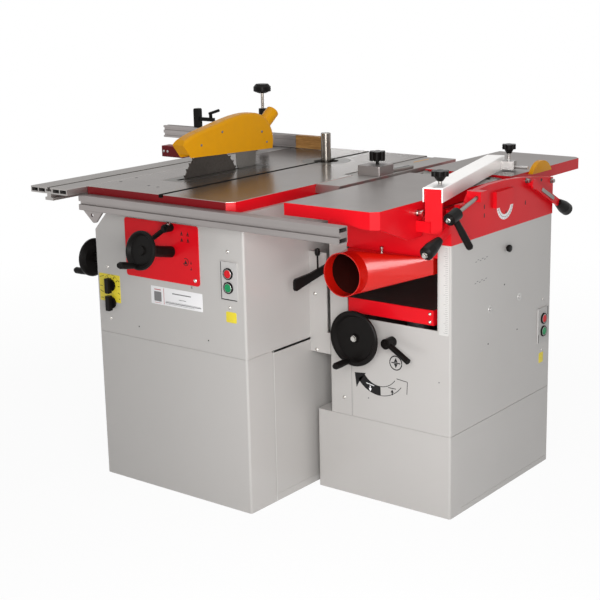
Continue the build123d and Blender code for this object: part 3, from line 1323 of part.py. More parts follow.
finished = {
    "saw_plinth": saw_plinth,
    "saw_cabinet": saw_cabinet,
    "saw_table": saw_table,
    "table_inserts": table_inserts,
    "control_panel": control_panel,
    "switch_plates": switch_plates,
    "front_rail": front_rail,
    "slide_rail": slide_rail,
    "planer_plinth": planer_plinth,
    "planer_cabinet": planer_cabinet,
    "planer_body": planer_body,
    "dust_hood": dust_hood,
    "filler_rail": filler_rail,
    "joining_strip": joining_strip,
    "planer_motor": planer_motor,
    "lift_columns": lift_columns,
    "saw_cradle": saw_cradle,
    "saw_carriage": saw_carriage,
    "saw_motor": saw_motor,
    "motor_pulley": motor_pulley,
    "saw_belt": saw_belt,
    "saw_arbor": saw_arbor,
    "saw_blade": saw_blade,
    "riving_knife": riving_knife,
    "saw_guard": saw_guard,
    "saw_handwheel": saw_handwheel,
    "tilt_handwheel": tilt_handwheel,
    "panel_lever": panel_lever,
    "upper_selector": upper_selector,
    "lower_selector": lower_selector,
    "saw_stop_button": saw_stop_button,
    "saw_start_button": saw_start_button,
    "planer_stop_button": planer_stop_button,
    "planer_start_button": planer_start_button,
    "moulder_quill": moulder_quill,
    "moulder_spindle": moulder_spindle,
    "sliding_table": sliding_table,
    "outrigger": outrigger,
    "clamp_column": clamp_column,
    "clamp_screw": clamp_screw,
    "crosscut_fence": crosscut_fence,
    "fence_end": fence_end,
    "flip_stop": flip_stop,
    "outfeed_table": outfeed_table,
    "infeed_table": infeed_table,
    "end_cap": end_cap,
    "guard_upright": guard_upright,
    "bridge_guard": bridge_guard,
    "infeed_lock_lever": infeed_lock_lever,
    "outfeed_lock_lever": outfeed_lock_lever,
    "depth_lever": depth_lever,
    "cutterblock": cutterblock,
    "infeed_roller": infeed_roller,
    "outfeed_roller": outfeed_roller,
    "thicknesser_table": thicknesser_table,
    "thicknesser_handwheel": thicknesser_handwheel,
    "thicknesser_lock": thicknesser_lock,
    "feed_lever": feed_lever,
    "fence_carriage": fence_carriage,
    "carriage_knob": carriage_knob,
}
for name, piece in finished.items():
    piece.part.label = name
    export_step(piece.part, f"parts/{name}.step")
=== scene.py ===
import bpy
import bmesh
import math
from mathutils import Matrix, Vector


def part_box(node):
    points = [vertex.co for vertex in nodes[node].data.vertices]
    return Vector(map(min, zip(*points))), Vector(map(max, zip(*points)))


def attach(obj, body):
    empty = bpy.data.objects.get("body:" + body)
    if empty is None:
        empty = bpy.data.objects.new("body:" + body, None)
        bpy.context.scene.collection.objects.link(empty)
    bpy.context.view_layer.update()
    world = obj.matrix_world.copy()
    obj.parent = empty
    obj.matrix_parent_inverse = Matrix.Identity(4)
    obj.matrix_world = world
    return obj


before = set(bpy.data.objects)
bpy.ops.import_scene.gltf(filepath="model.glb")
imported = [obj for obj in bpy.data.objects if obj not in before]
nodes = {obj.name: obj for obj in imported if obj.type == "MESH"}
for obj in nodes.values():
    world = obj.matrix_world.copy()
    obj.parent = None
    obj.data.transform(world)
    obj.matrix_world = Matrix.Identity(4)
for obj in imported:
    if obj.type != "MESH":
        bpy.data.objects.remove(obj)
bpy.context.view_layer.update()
mm = 0.001
print("frame loaded:", len(nodes), "nodes")


# camera at the photograph's viewing angle

cameraView = {
    "place": (2.42546, -2.90494, 1.42),
    "turn": 0.65386,        # about the vertical, towards the left
    "dip": 0.23091,         # below the horizontal
    "roll": 0.0189,
    "focalPixels": 1319.2,
    "centre": (317.6, 278.1),
    "frame": 600,
    "sensor": 36,
    "farthest": 60,
}


def makeCamera(view):
    lens = bpy.data.cameras.new("viewCamera")
    camera = bpy.data.objects.new("viewCamera", lens)
    bpy.context.collection.objects.link(camera)
    lens.sensor_width = view["sensor"]
    lens.lens = view["focalPixels"] * view["sensor"] / view["frame"]
    lens.shift_x = (view["frame"] / 2 - view["centre"][0]) / view["frame"]
    lens.shift_y = (view["centre"][1] - view["frame"] / 2) / view["frame"]
    lens.clip_end = view["farthest"]
    turn = view["turn"]
    dip = view["dip"]
    level = math.cos(dip)
    forward = Vector((-math.sin(turn) * level, math.cos(turn) * level, -math.sin(dip)))
    right = Vector((math.cos(turn), math.sin(turn), 0))
    upward = right.cross(forward)
    tilted = Matrix.Rotation(view["roll"], 3, forward)
    columns = Matrix((tilted @ right, tilted @ upward, -forward)).transposed()
    camera.matrix_world = Matrix.Translation(view["place"]) @ columns.to_4x4()
    bpy.context.scene.camera = camera


makeCamera(cameraView)
print("camera set")


# shader groups shared by the finishes

colourKind = "NodeSocketColor"
valueKind = "NodeSocketFloat"
vectorKind = "NodeSocketVector"
mixSockets = {"amount": 0, "first": 6, "second": 7, "result": 2}    # where the Mix node keeps its colours
noiseSpan = (0.3, 0.7)      # where most of a noise's values lie
wholeSpan = (0, 1)


def addNode(tree, kind, settings=None, sockets=None):
    node = tree.nodes.new(kind)
    for key, value in (settings or {}).items():
        setattr(node, key, value)
    for key, value in (sockets or {}).items():
        node.inputs[key].default_value = value
    return node


def startGroup(name, takes):
    tree = bpy.data.node_groups.new(name, "ShaderNodeTree")
    for label, kind in {"Colour": colourKind, **takes}.items():
        tree.interface.new_socket(label, in_out="INPUT", socket_type=kind)
    for label, kind in (("Colour", colourKind), ("Roughness", valueKind), ("Height", valueKind)):
        tree.interface.new_socket(label, in_out="OUTPUT", socket_type=kind)
    coords = addNode(tree, "ShaderNodeTexCoord").outputs["Object"]
    return tree, tree.nodes.new("NodeGroupInput").outputs, coords


def closeGroup(tree, colour, roughness, height):
    leave = tree.nodes.new("NodeGroupOutput")
    tree.links.new(colour, leave.inputs["Colour"])
    tree.links.new(roughness, leave.inputs["Roughness"])
    tree.links.new(height, leave.inputs["Height"])
    return tree


def noiseOf(tree, vector, values):
    noise = addNode(tree, "ShaderNodeTexNoise", None, values)
    tree.links.new(vector, noise.inputs["Vector"])
    return noise


def rangeOf(tree, value, taken, given):
    spread = addNode(tree, "ShaderNodeMapRange", None, {
        "From Min": taken[0], "From Max": taken[1], "To Min": given[0], "To Max": given[1]})
    tree.links.new(value, spread.inputs["Value"])
    return spread.outputs["Result"]


def mathOf(tree, operation, first, second):
    node = addNode(tree, "ShaderNodeMath", {"operation": operation})
    tree.links.new(first, node.inputs[0])
    tree.links.new(second, node.inputs[1])
    return node.outputs[0]


def shadeOf(tree, blend, amount, first, second):
    shade = addNode(tree, "ShaderNodeMix", {"data_type": "RGBA", "blend_type": blend})
    tree.links.new(amount, shade.inputs[mixSockets["amount"]])
    tree.links.new(first, shade.inputs[mixSockets["first"]])
    tree.links.new(second, shade.inputs[mixSockets["second"]])
    return shade.outputs[mixSockets["result"]]


def stretchOf(tree, coords, stretch):
    node = addNode(tree, "ShaderNodeVectorMath", {"operation": "MULTIPLY"})
    tree.links.new(coords, node.inputs[0])
    tree.links.new(stretch, node.inputs[1])
    return node.outputs["Vector"]


# sprayed paint: slow drift of tone, fine orange peel and faint rubbed patches
paintGrain = {
    "slow": {"Scale": 3.5, "Detail": 4},
    "slowTone": (0.55, 1.0),
    "rubbed": {"Scale": 9, "Detail": 2},
    "rubbedRoughness": (-0.03, 0.05),
    "peel": {"Detail": 1},
}


def paintSkinGroup(grain):
    tree, takes, coords = startGroup("paintSkin", {
        "Drift": valueKind, "Peel": valueKind, "BaseRoughness": valueKind})
    slow = noiseOf(tree, coords, grain["slow"]).outputs["Fac"]
    rubbed = noiseOf(tree, coords, grain["rubbed"]).outputs["Fac"]
    peel = noiseOf(tree, coords, grain["peel"])
    tree.links.new(takes["Peel"], peel.inputs["Scale"])
    tone = rangeOf(tree, slow, noiseSpan, grain["slowTone"])
    colour = shadeOf(tree, "MULTIPLY", takes["Drift"], takes["Colour"], tone)
    uneven = rangeOf(tree, rubbed, noiseSpan, grain["rubbedRoughness"])
    roughness = mathOf(tree, "ADD", takes["BaseRoughness"], uneven)
    return closeGroup(tree, colour, roughness, peel.outputs["Fac"])


# lines left by grinding, drawing or turning, stretched along one direction
cutGrain = {
    "lines": {"Scale": 1, "Detail": 5, "Roughness": 0.65},
    "linesRoughness": (-0.03, 0.05),
    "cloud": {"Scale": 7, "Detail": 5, "Roughness": 0.6},
    "bothSpan": (0.12, 0.4),
    "bothTone": (0.45, 1.1),
}


def cutLinesGroup(grain):
    tree, takes, coords = startGroup("cutLines", {
        "Stretch": vectorKind, "Contrast": valueKind, "BaseRoughness": valueKind})
    lines = noiseOf(tree, stretchOf(tree, coords, takes["Stretch"]), grain["lines"]).outputs["Fac"]
    cloud = noiseOf(tree, coords, grain["cloud"]).outputs["Fac"]
    tone = rangeOf(tree, mathOf(tree, "MULTIPLY", lines, cloud), grain["bothSpan"], grain["bothTone"])
    colour = shadeOf(tree, "MULTIPLY", takes["Contrast"], takes["Colour"], tone)
    uneven = rangeOf(tree, lines, noiseSpan, grain["linesRoughness"])
    return closeGroup(tree, colour, mathOf(tree, "ADD", takes["BaseRoughness"], uneven), lines)


# moulded plastic, rubber and rough castings: a pebbled skin with dull and shiny spots
plasticGrain = {
    "patch": {"Scale": 40, "Detail": 4},
    "patchTone": (0.6, 1.25),
    "patchRoughness": (-0.08, 0.12),
}


def mouldGrainGroup(grain):
    tree, takes, coords = startGroup("mouldGrain", {
        "Pebble": valueKind, "Dulling": valueKind, "BaseRoughness": valueKind})
    pebble = addNode(tree, "ShaderNodeTexVoronoi", {"feature": "SMOOTH_F1"})
    tree.links.new(coords, pebble.inputs["Vector"])
    tree.links.new(takes["Pebble"], pebble.inputs["Scale"])
    patch = noiseOf(tree, coords, grain["patch"]).outputs["Fac"]
    tone = rangeOf(tree, patch, noiseSpan, grain["patchTone"])
    colour = shadeOf(tree, "MULTIPLY", takes["Dulling"], takes["Colour"], tone)
    uneven = rangeOf(tree, patch, noiseSpan, grain["patchRoughness"])
    roughness = mathOf(tree, "ADD", takes["BaseRoughness"], uneven)
    return closeGroup(tree, colour, roughness, pebble.outputs["Distance"])


# sawn hardwood: growth lines along the plank and short dark flecks
woodGrain = {
    "rings": {"Scale": 1.4, "Detail": 5},
    "flecks": {"Scale": 9, "Detail": 3},
    "toneSpan": (0.14, 0.38),
    "roughness": (0.62, 0.5),       # in the dark lines and between them
}


def plankGrainGroup(grain):
    tree, takes, coords = startGroup("plankGrain", {"Dark": colourKind, "Stretch": vectorKind})
    stretched = stretchOf(tree, coords, takes["Stretch"])
    rings = noiseOf(tree, stretched, grain["rings"]).outputs["Fac"]
    flecks = noiseOf(tree, stretched, grain["flecks"]).outputs["Fac"]
    tone = rangeOf(tree, mathOf(tree, "MULTIPLY", rings, flecks), grain["toneSpan"], wholeSpan)
    colour = shadeOf(tree, "MIX", tone, takes["Dark"], takes["Colour"])
    return closeGroup(tree, colour, rangeOf(tree, tone, wholeSpan, grain["roughness"]), flecks)


paintSkin = paintSkinGroup(paintGrain)
cutLines = cutLinesGroup(cutGrain)
mouldGrain = mouldGrainGroup(plasticGrain)
plankGrain = plankGrainGroup(woodGrain)
print("shader groups made")


# finishes: colours are plain 0 to 255, gloss is the specular level, rim the tint at grazing angles

plainLook = {"metallic": 0.0, "coat": 0.0, "coatRoughness": 0.08, "gloss": 0.5, "rim": 1.0}
paintLook = {"skin": paintSkin, "bump": 0.02, "depth": 0.0002}
metalLook = {"skin": cutLines, "bump": 0.05, "depth": 0.0001, "metallic": 1.0, "rim": 0.55}
plasticLook = {"skin": mouldGrain, "bump": 0.08, "depth": 0.0003, "gloss": 0.2}
woodLook = {"skin": plankGrain, "bump": 0.15, "depth": 0.0002, "gloss": 0.3}
inkLook = {"drift": 0.2, "peel": 500, "roughness": 0.5, "bump": 0.03, "gloss": 0.2}


def linearColour(red, green, blue):
    parts = []
    for part in (red / 255, green / 255, blue / 255):
        parts.append(part / 12.92 if part < 0.04045 else ((part + 0.055) / 1.055) ** 2.4)
    return (*parts, 1.0)


def painted(colour, drift, peel, roughness, **changes):
    return colour, {**paintLook, **changes}, {"Drift": drift, "Peel": peel, "BaseRoughness": roughness}


def metal(colour, stretch, contrast, roughness, **changes):
    sockets = {"Stretch": stretch, "Contrast": contrast, "BaseRoughness": roughness}
    return colour, {**metalLook, **changes}, sockets


def moulded(colour, pebble, dulling, roughness, **changes):
    sockets = {"Pebble": pebble, "Dulling": dulling, "BaseRoughness": roughness}
    return colour, {**plasticLook, **changes}, sockets


def sawnWood(colour, dark, stretch):
    return colour, woodLook, {"Dark": linearColour(*dark), "Stretch": stretch}


finishes = {
    "greyPaint": painted((186, 183, 180), drift=0.05, peel=240, roughness=0.36, coat=0.3),
    "redPaint": painted((218, 14, 28), drift=0.05, peel=240, roughness=0.36, gloss=0.18, coat=0.05,
                        bump=0.01),
    # painted shade: a darker copy of the red paint for faces turned away from the light, the saw table's
    # front edge and the outrigger
    "redPaintedShade": painted((126, 6, 17), drift=0.08, peel=240, roughness=0.38, gloss=0.2),
    "redHood": painted((192, 20, 10), drift=0.04, peel=200, roughness=0.19, gloss=0.35, coat=0.12,
                       bump=0.01),
    # painted shade: a near-black red for the hood's inside faces, where shade falls in the bore
    "hoodPaintedShade": painted((44, 10, 7), drift=0.2, peel=300, roughness=0.6, gloss=0.1),
    # painted shade: a darker paint for the planer cabinet's inside faces, seen in shade through its opening
    "insidePaintedShade": painted((132, 110, 110), drift=0.2, peel=300, roughness=0.6, gloss=0.1),
    "whitePlate": painted((240, 239, 240), drift=0.03, peel=500, roughness=0.38),
    "scalePlate": painted((208, 207, 204), drift=0.03, peel=500, roughness=0.38),
    "yellowPlate": painted((232, 212, 54), drift=0.06, peel=500, roughness=0.40),
    "inkBlack": painted((26, 25, 26), **inkLook),
    "inkGrey": painted((128, 127, 128), **inkLook),
    "inkRed": painted((186, 62, 70), **inkLook),
    "blackPaint": painted((20, 19, 19), drift=0.2, peel=600, roughness=0.40, gloss=0.15),
    "tableTop": metal((177, 170, 165), stretch=(900, 26, 26), contrast=0.25, roughness=0.22),
    "planerTop": metal((172, 166, 163), stretch=(900, 22, 22), contrast=0.22, roughness=0.33),
    # bare iron darkened as painted shade, for the walls of the saw table's slot, bore and step
    "slotIronAndShade": metal((62, 58, 55), stretch=(30, 500, 30), contrast=0.4, roughness=0.5),
    "steelTurned": metal((152, 146, 139), stretch=(40, 40, 1500), contrast=0.3, roughness=0.2),
    "steelFlat": metal((150, 147, 143), stretch=(60, 700, 60), contrast=0.35, roughness=0.32),
    "bladeSteel": metal((98, 93, 89), stretch=(60, 180, 180), contrast=0.5, roughness=0.33),
    "brightZinc": metal((208, 205, 200), stretch=(500, 500, 500), contrast=0.3, roughness=0.22, rim=0.9),
    "aluAlongX": metal((164, 158, 156), stretch=(8, 900, 900), contrast=0.2, roughness=0.4),
    "aluAlongY": metal((176, 172, 169), stretch=(900, 8, 900), contrast=0.2, roughness=0.4),
    "aluGuard": metal((244, 242, 240), stretch=(700, 8, 700), contrast=0.08, roughness=0.45, rim=0.9),
    "aluBright": metal((196, 194, 192), stretch=(400, 400, 400), contrast=0.2, roughness=0.35),
    "castGrey": moulded((122, 121, 122), pebble=500, dulling=0.4, roughness=0.55, metallic=0.6, bump=0.2),
    "blackPlastic": moulded((19, 17, 16), pebble=1100, dulling=0.3, roughness=0.36, gloss=0.1),
    "yellowPlastic": moulded((230, 160, 6), pebble=900, dulling=0.06, roughness=0.38, gloss=0.16, bump=0.03),
    "greyPlastic": moulded((190, 188, 186), pebble=1000, dulling=0.06, roughness=0.42),
    "redPlastic": moulded((206, 22, 32), pebble=1200, dulling=0.1, roughness=0.38, gloss=0.3),
    "greenPlastic": moulded((14, 140, 84), pebble=1200, dulling=0.1, roughness=0.38, gloss=0.3),
    "beltRubber": moulded((36, 36, 36), pebble=700, dulling=0.4, roughness=0.7, bump=0.3),
    "plainWood": sawnWood((196, 148, 84), dark=(150, 104, 54), stretch=(6, 90, 90)),
}


def makeFinish(name, colour, changes, sockets):
    look = {**plainLook, **changes}
    material = bpy.data.materials.new(name)
    material.use_nodes = True
    tree = material.node_tree
    shader = tree.nodes["Principled BSDF"]
    skin = tree.nodes.new("ShaderNodeGroup")
    skin.node_tree = look["skin"]
    skin.inputs["Colour"].default_value = linearColour(*colour)
    for key, value in sockets.items():
        skin.inputs[key].default_value = value
    relief = addNode(tree, "ShaderNodeBump", None, {"Strength": look["bump"], "Distance": look["depth"]})
    tree.links.new(skin.outputs["Colour"], shader.inputs["Base Color"])
    tree.links.new(skin.outputs["Roughness"], shader.inputs["Roughness"])
    tree.links.new(skin.outputs["Height"], relief.inputs["Height"])
    tree.links.new(relief.outputs["Normal"], shader.inputs["Normal"])
    shader.inputs["Metallic"].default_value = look["metallic"]
    shader.inputs["Coat Weight"].default_value = look["coat"]
    shader.inputs["Coat Roughness"].default_value = look["coatRoughness"]
    shader.inputs["Specular IOR Level"].default_value = look["gloss"]
    shader.inputs["Specular Tint"].default_value = (look["rim"], look["rim"], look["rim"], 1)
    material.diffuse_color = linearColour(*colour)
    return material


finish = {name: makeFinish(name, *values) for name, values in finishes.items()}
print("finishes made:", len(finish))


# finishes of the machine's own nodes, chosen face by face where one node has several, in millimetres

facing = 0.9        # least share of a normal that counts as facing one way


def between(value, span):
    return span[0] < value < span[1]


sawTableZones = {
    "slotX": 14,
    "slotHalf": 8.6,
    "slotZ": (837, 846.9),
    "bore": (21, 287),
    "boreRadius": 76,
    "stepX": (200, 240),
    "top": 845.9,
    "edgeLow": 816.5,
}


def sawTableFace(at, normal):
    zones = sawTableZones
    inSlot = abs(at.x - zones["slotX"]) < zones["slotHalf"] and between(at.z, zones["slotZ"])
    fromBore = math.hypot(at.x - zones["bore"][0], at.y - zones["bore"][1])
    inBore = fromBore < zones["boreRadius"] and at.z < zones["top"]
    onStep = normal.x > facing and between(at.x, zones["stepX"])
    # slot walls, the bore's inside and the step's side are bare iron, darkened as painted shade
    if inSlot or inBore or onStep:
        return "slotIronAndShade"
    if at.z > zones["top"]:
        return "tableTop"
    if at.z < zones["edgeLow"]:
        return "castGrey"
    # faces turned to the front get the darker red, as painted shade
    return "redPaintedShade" if normal.y < -facing else "redPaint"


planerTableZones = {"top": 846, "hingeSide": 381.5}


def planerTableFace(at, normal):
    zones = planerTableZones
    planed = at.z > zones["top"] and at.x > zones["hingeSide"] and normal.z > facing
    return "planerTop" if planed else "redPaint"


bedZones = {"top": 561, "edgeLow": 520}


def bedFace(at, normal):
    if at.z > bedZones["top"] and normal.z > facing:
        return "planerTop"
    return "castGrey" if at.z < bedZones["edgeLow"] else "redPaint"


bridgeZones = {
    "lean": math.radians(15),
    "pivot": (699, -179),
    "knobLow": 894.8,
    "washerLow": 887.2,
    "side": 26.4,
}


def bridgeFace(at, normal):
    lean = bridgeZones["lean"]
    pivotX, pivotY = bridgeZones["pivot"]
    across = (at.x - pivotX) * math.cos(lean) + (at.y - pivotY) * math.sin(lean)
    if at.z > bridgeZones["knobLow"]:
        return "blackPlastic"
    if at.z > bridgeZones["washerLow"]:
        return "steelFlat"
    return "aluBright" if across > bridgeZones["side"] else "aluGuard"


uprightTop = 886.5


def uprightFace(at, normal):
    return "steelFlat" if at.z > uprightTop else "redPaint"


clampScrewBare = (880.5, 1033.6)


def clampScrewFace(at, normal):
    return "steelTurned" if between(at.z, clampScrewBare) else "blackPlastic"


hingeRod = {"x": 358, "z": 832, "radius": 6.4}


def hingeRodFace(at, normal):
    fromRod = math.hypot(at.x - hingeRod["x"], at.z - hingeRod["z"])
    return "steelFlat" if fromRod < hingeRod["radius"] else "redPaint"


# hub and reach are (y, z), the grip starts so far from the hub
lockLevers = {
    "infeed": {"hub": (-80, 820), "reach": (-148, -59), "gripStart": 146},
    "outfeed": {"hub": (268, 838), "reach": (154, -78), "gripStart": 158},
}


def lockFace(lever, at):
    hub = Vector(lever["hub"])
    along = (Vector((at.y, at.z)) - hub).dot(Vector(lever["reach"]).normalized())
    return "blackPlastic" if along > lever["gripStart"] else "redPaint"


def infeedLockFace(at, normal):
    return lockFace(lockLevers["infeed"], at)


def outfeedLockFace(at, normal):
    return lockFace(lockLevers["outfeed"], at)


depthLean = math.radians(15)
depthLever = {"hub": (755, -172, 820), "line": (0, math.cos(depthLean), math.sin(depthLean)), "hubEnd": 18.5}


def depthLeverFace(at, normal):
    along = (at - Vector(depthLever["hub"])).dot(Vector(depthLever["line"]))
    return "steelFlat" if along > depthLever["hubEnd"] else "blackPlastic"


# faces inside the hood's mouth and funnel get the dark red as painted shade
hoodZones = {
    "mouthEnd": -220,
    "mouth": (473, -221, 653),
    "funnelLength": 85,
    "funnelRise": (70, 24),         # how far its middle moves along X and Z
    "inward": -0.05,
}


def hoodFace(at, normal):
    mouthX, mouthY, mouthZ = hoodZones["mouth"]
    riseX, riseZ = hoodZones["funnelRise"]
    share = min(max((at.y - mouthY) / hoodZones["funnelLength"], 0), 1)
    outward = normal.x * (at.x - mouthX - riseX * share) + normal.z * (at.z - mouthZ - riseZ * share)
    inside = at.y > hoodZones["mouthEnd"] and outward < hoodZones["inward"]
    return "hoodPaintedShade" if inside else "redHood"


# the cabinet's inside wall faces get the darker paint as painted shade
cabinetWalls = {"left": 346, "right": (722, 726), "front": -131, "back": (400, 404)}


def cabinetFace(at, normal):
    inLeft = at.x < cabinetWalls["left"] and normal.x > facing
    inRight = between(at.x, cabinetWalls["right"]) and normal.x < -facing
    inFront = at.y < cabinetWalls["front"] and normal.y > facing
    inBack = between(at.y, cabinetWalls["back"]) and normal.y < -facing
    return "insidePaintedShade" if inLeft or inRight or inFront or inBack else "greyPaint"


nodeFinishes = {
    "greyPaint": ["saw_plinth", "saw_cabinet", "planer_plinth", "joining_strip"],
    "redPaint": ["control_panel"],
    "redPaintedShade": ["outrigger"],
    "steelFlat": ["table_inserts", "riving_knife", "saw_arbor", "motor_pulley", "cutterblock",
                  "infeed_roller", "outfeed_roller"],
    "bladeSteel": ["saw_blade"],
    "steelTurned": ["moulder_spindle", "lift_columns"],
    "aluAlongX": ["front_rail", "crosscut_fence", "fence_carriage"],
    "aluAlongY": ["slide_rail", "sliding_table", "filler_rail"],
    "castGrey": ["saw_cradle", "saw_carriage", "saw_motor", "planer_motor", "moulder_quill"],
    "beltRubber": ["saw_belt"],
    "greyPlastic": ["switch_plates"],
    "yellowPlastic": ["saw_guard", "end_cap"],
    "plainWood": ["fence_end"],
    "blackPlastic": ["saw_handwheel", "tilt_handwheel", "thicknesser_handwheel", "panel_lever",
                     "upper_selector", "lower_selector", "flip_stop", "thicknesser_lock", "carriage_knob"],
    "blackPaint": ["feed_lever", "clamp_column"],
    "redPlastic": ["saw_stop_button", "planer_stop_button"],
    "greenPlastic": ["saw_start_button", "planer_start_button"],
}
mixedFinishes = {
    "saw_table": (["tableTop", "redPaint", "slotIronAndShade", "castGrey", "redPaintedShade"], sawTableFace),
    "infeed_table": (["planerTop", "redPaint"], planerTableFace),
    "outfeed_table": (["planerTop", "redPaint"], planerTableFace),
    "thicknesser_table": (["planerTop", "redPaint", "castGrey"], bedFace),
    "bridge_guard": (["aluGuard", "blackPlastic", "steelFlat", "aluBright"], bridgeFace),
    "guard_upright": (["redPaint", "steelFlat"], uprightFace),
    "clamp_screw": (["steelTurned", "blackPlastic"], clampScrewFace),
    "planer_body": (["redPaint", "steelFlat"], hingeRodFace),
    "infeed_lock_lever": (["redPaint", "blackPlastic"], infeedLockFace),
    "outfeed_lock_lever": (["redPaint", "blackPlastic"], outfeedLockFace),
    "depth_lever": (["blackPlastic", "steelFlat"], depthLeverFace),
    "dust_hood": (["redHood", "hoodPaintedShade"], hoodFace),
    "planer_cabinet": (["greyPaint", "insidePaintedShade"], cabinetFace),
}


def finishNode(name, looks, choose=None):
    mesh = nodes[name].data
    mesh.materials.clear()
    for look in looks:
        mesh.materials.append(finish[look])
    if choose:
        for face in mesh.polygons:
            face.material_index = looks.index(choose(face.center / mm, face.normal))


for look, names in nodeFinishes.items():
    for nodeName in names:
        finishNode(nodeName, [look])
for nodeName, (looks, choose) in mixedFinishes.items():
    finishNode(nodeName, looks, choose)
print("nodes finished")


# mesh makers for the small fittings, in millimetres

cornerSteps = 4
rimBevel = {"segments": 2, "profile": 0.6}
roundTurn = 30      # edges that bend more than this many degrees stay sharp
# a screw head in shares of its radius and height, a hole in shares of its radius and in heights
screwShape = [(1, 0), (1, 0.35), (0.82, 0.8), (0.62, 1), (0.42, 1), (0.38, 0.3)]
holeShape = [(1, 0), (1, 0.12), (0.8, 0.16), (0.2, 0.06)]


def placing(origin, across, upward):
    side = Vector(across).normalized()
    top = Vector(upward).normalized()
    columns = Matrix((side, top, side.cross(top))).transposed().to_4x4()
    return Matrix.Translation(Vector(origin) * mm) @ columns


def onFront(y):
    return placing((0, y, 0), (1, 0, 0), (0, 0, 1))


def onRight(x):
    return placing((x, 0, 0), (0, 1, 0), (0, 0, 1))


def onTop(z):
    return placing((0, 0, z), (1, 0, 0), (0, 1, 0))


def pointing(start, direction, distance=0):
    line = Vector(direction).normalized()
    side = Vector((0, 0, 1)) if abs(line.x) > facing else Vector((1, 0, 0))
    return placing(Vector(start) + line * distance, side, line.cross(side))


def shifted(outline, across, up):
    return [(x + across, y + up) for x, y in outline]


def oblong(left, right, low, high):
    return [(left, low), (right, low), (right, high), (left, high)]


def roundedOutline(width, height, corner, centre=(0, 0)):
    points = []
    for sideX, sideY, start in ((1, 1, 0), (-1, 1, 90), (-1, -1, 180), (1, -1, 270)):
        for step in range(cornerSteps + 1):
            angle = math.radians(start + step * 90 / cornerSteps)
            points.append((sideX * (width / 2 - corner) + corner * math.cos(angle),
                           sideY * (height / 2 - corner) + corner * math.sin(angle)))
    return shifted(points, *centre)


def arcBand(centre, band, arc, steps):
    start, stop = arc
    turns = [math.radians(start + (stop - start) * step / steps) for step in range(steps + 1)]
    inner, outer = band
    far = [(outer * math.cos(turn), outer * math.sin(turn)) for turn in turns]
    near = [(inner * math.cos(turn), inner * math.sin(turn)) for turn in reversed(turns)]
    return shifted(far + near, *centre)


def strokeOutline(first, second, width):
    along = Vector((second[0] - first[0], second[1] - first[1])).normalized() * (width / 2)
    return [(first[0] - along.y, first[1] + along.x), (first[0] + along.y, first[1] - along.x),
            (second[0] + along.y, second[1] - along.x), (second[0] - along.y, second[1] + along.x)]


def screwProfile(radius, height):
    # round head with a driver socket in its middle
    return [(radius * across, height * up) for across, up in screwShape]


def holeProfile(radius):
    return [(radius * across, up) for across, up in holeShape]


def meshFrom(name, shape):
    bmesh.ops.recalc_face_normals(shape, faces=shape.faces[:])
    mesh = bpy.data.meshes.new(name)
    shape.to_mesh(mesh)
    shape.free()
    return mesh


def addPiece(mesh, place, look, body, smooth):
    piece = bpy.data.objects.new(mesh.name, mesh)
    bpy.context.collection.objects.link(piece)
    piece.matrix_world = place
    mesh.materials.append(finish[look])
    mesh.polygons.foreach_set("use_smooth", [True] * len(mesh.polygons))
    mesh.set_sharp_from_angle(angle=math.radians(smooth))
    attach(piece, body)


def joinRings(shape, low, high):
    for step in range(len(low)):
        after = (step + 1) % len(low)
        shape.faces.new((low[step], low[after], high[after], high[step]))


def addSlab(name, outlines, thick, place, look, body="frame", edge=0.0):
    shape = bmesh.new()
    upper = set()
    for outline in outlines:
        low, high = [[shape.verts.new((x * mm, y * mm, height * mm)) for x, y in outline]
                     for height in (0, thick)]
        shape.faces.new(list(reversed(low)))
        shape.faces.new(high)
        joinRings(shape, low, high)
        upper.update(high)
    bmesh.ops.recalc_face_normals(shape, faces=shape.faces[:])
    if edge > 0:
        rim = [item for item in shape.edges if upper.issuperset(item.verts)]
        bmesh.ops.bevel(shape, geom=rim, offset=edge * mm, affect="EDGES", **rimBevel)
    addPiece(meshFrom(name, shape), place, look, body, roundTurn)


def addPlate(name, plate, place, look):
    outline = roundedOutline(*plate["size"], plate["corner"], plate["centre"])
    addSlab(name, [outline], plate["thick"], place, look, edge=plate["edge"])


def addTurned(name, profile, place, look, body="frame", spots=((0, 0),),
              sides=24, ring=False, smooth=roundTurn):
    shape = bmesh.new()
    turns = [2 * math.pi * (step + 0.5) / sides for step in range(sides)]
    for spotX, spotY in spots:
        rings = []
        for radius, height in profile:
            rings.append([shape.verts.new(((spotX + radius * math.cos(turn)) * mm,
                                           (spotY + radius * math.sin(turn)) * mm, height * mm))
                          for turn in turns])
        pairs = list(zip(rings, rings[1:]))
        if ring:
            pairs.append((rings[-1], rings[0]))
        else:
            shape.faces.new(list(reversed(rings[0])))
            shape.faces.new(rings[-1])
        for low, high in pairs:
            joinRings(shape, low, high)
    addPiece(meshFrom(name, shape), place, look, body, smooth)


# saw cabinet's front: screws, plates and plain marks

sawFront = {
    "face": -405,
    "panelFace": -408,
    "screws": [(-229, 618), (-226, 470), (218, 712), (220, 563)],
    "screwSize": (4.6, 2.4),
    "lowScrew": [(89, 600)],
    "lowScrewSize": (3.2, 1.8),
    "panelScrew": [(105, 621)],
    "panelScrewSize": (5.4, 3.0),
    "holes": [(-116, 462), (141, 462)],
    "holeRadius": 2.2,
}
sawFace = onFront(sawFront["face"])
panelFace = onFront(sawFront["panelFace"])
addTurned("sawFrontScrews", screwProfile(*sawFront["screwSize"]), sawFace, "brightZinc",
          spots=sawFront["screws"])
addTurned("lowScrew", screwProfile(*sawFront["lowScrewSize"]), sawFace, "steelFlat",
          spots=sawFront["lowScrew"])
addTurned("panelScrew", screwProfile(*sawFront["panelScrewSize"]), panelFace, "brightZinc",
          spots=sawFront["panelScrew"])
# two holes drawn as dark domes: painted shade in the holes
addTurned("sawFrontHolesPaintedShade", holeProfile(sawFront["holeRadius"]), sawFace, "inkBlack",
          spots=sawFront["holes"], sides=16)

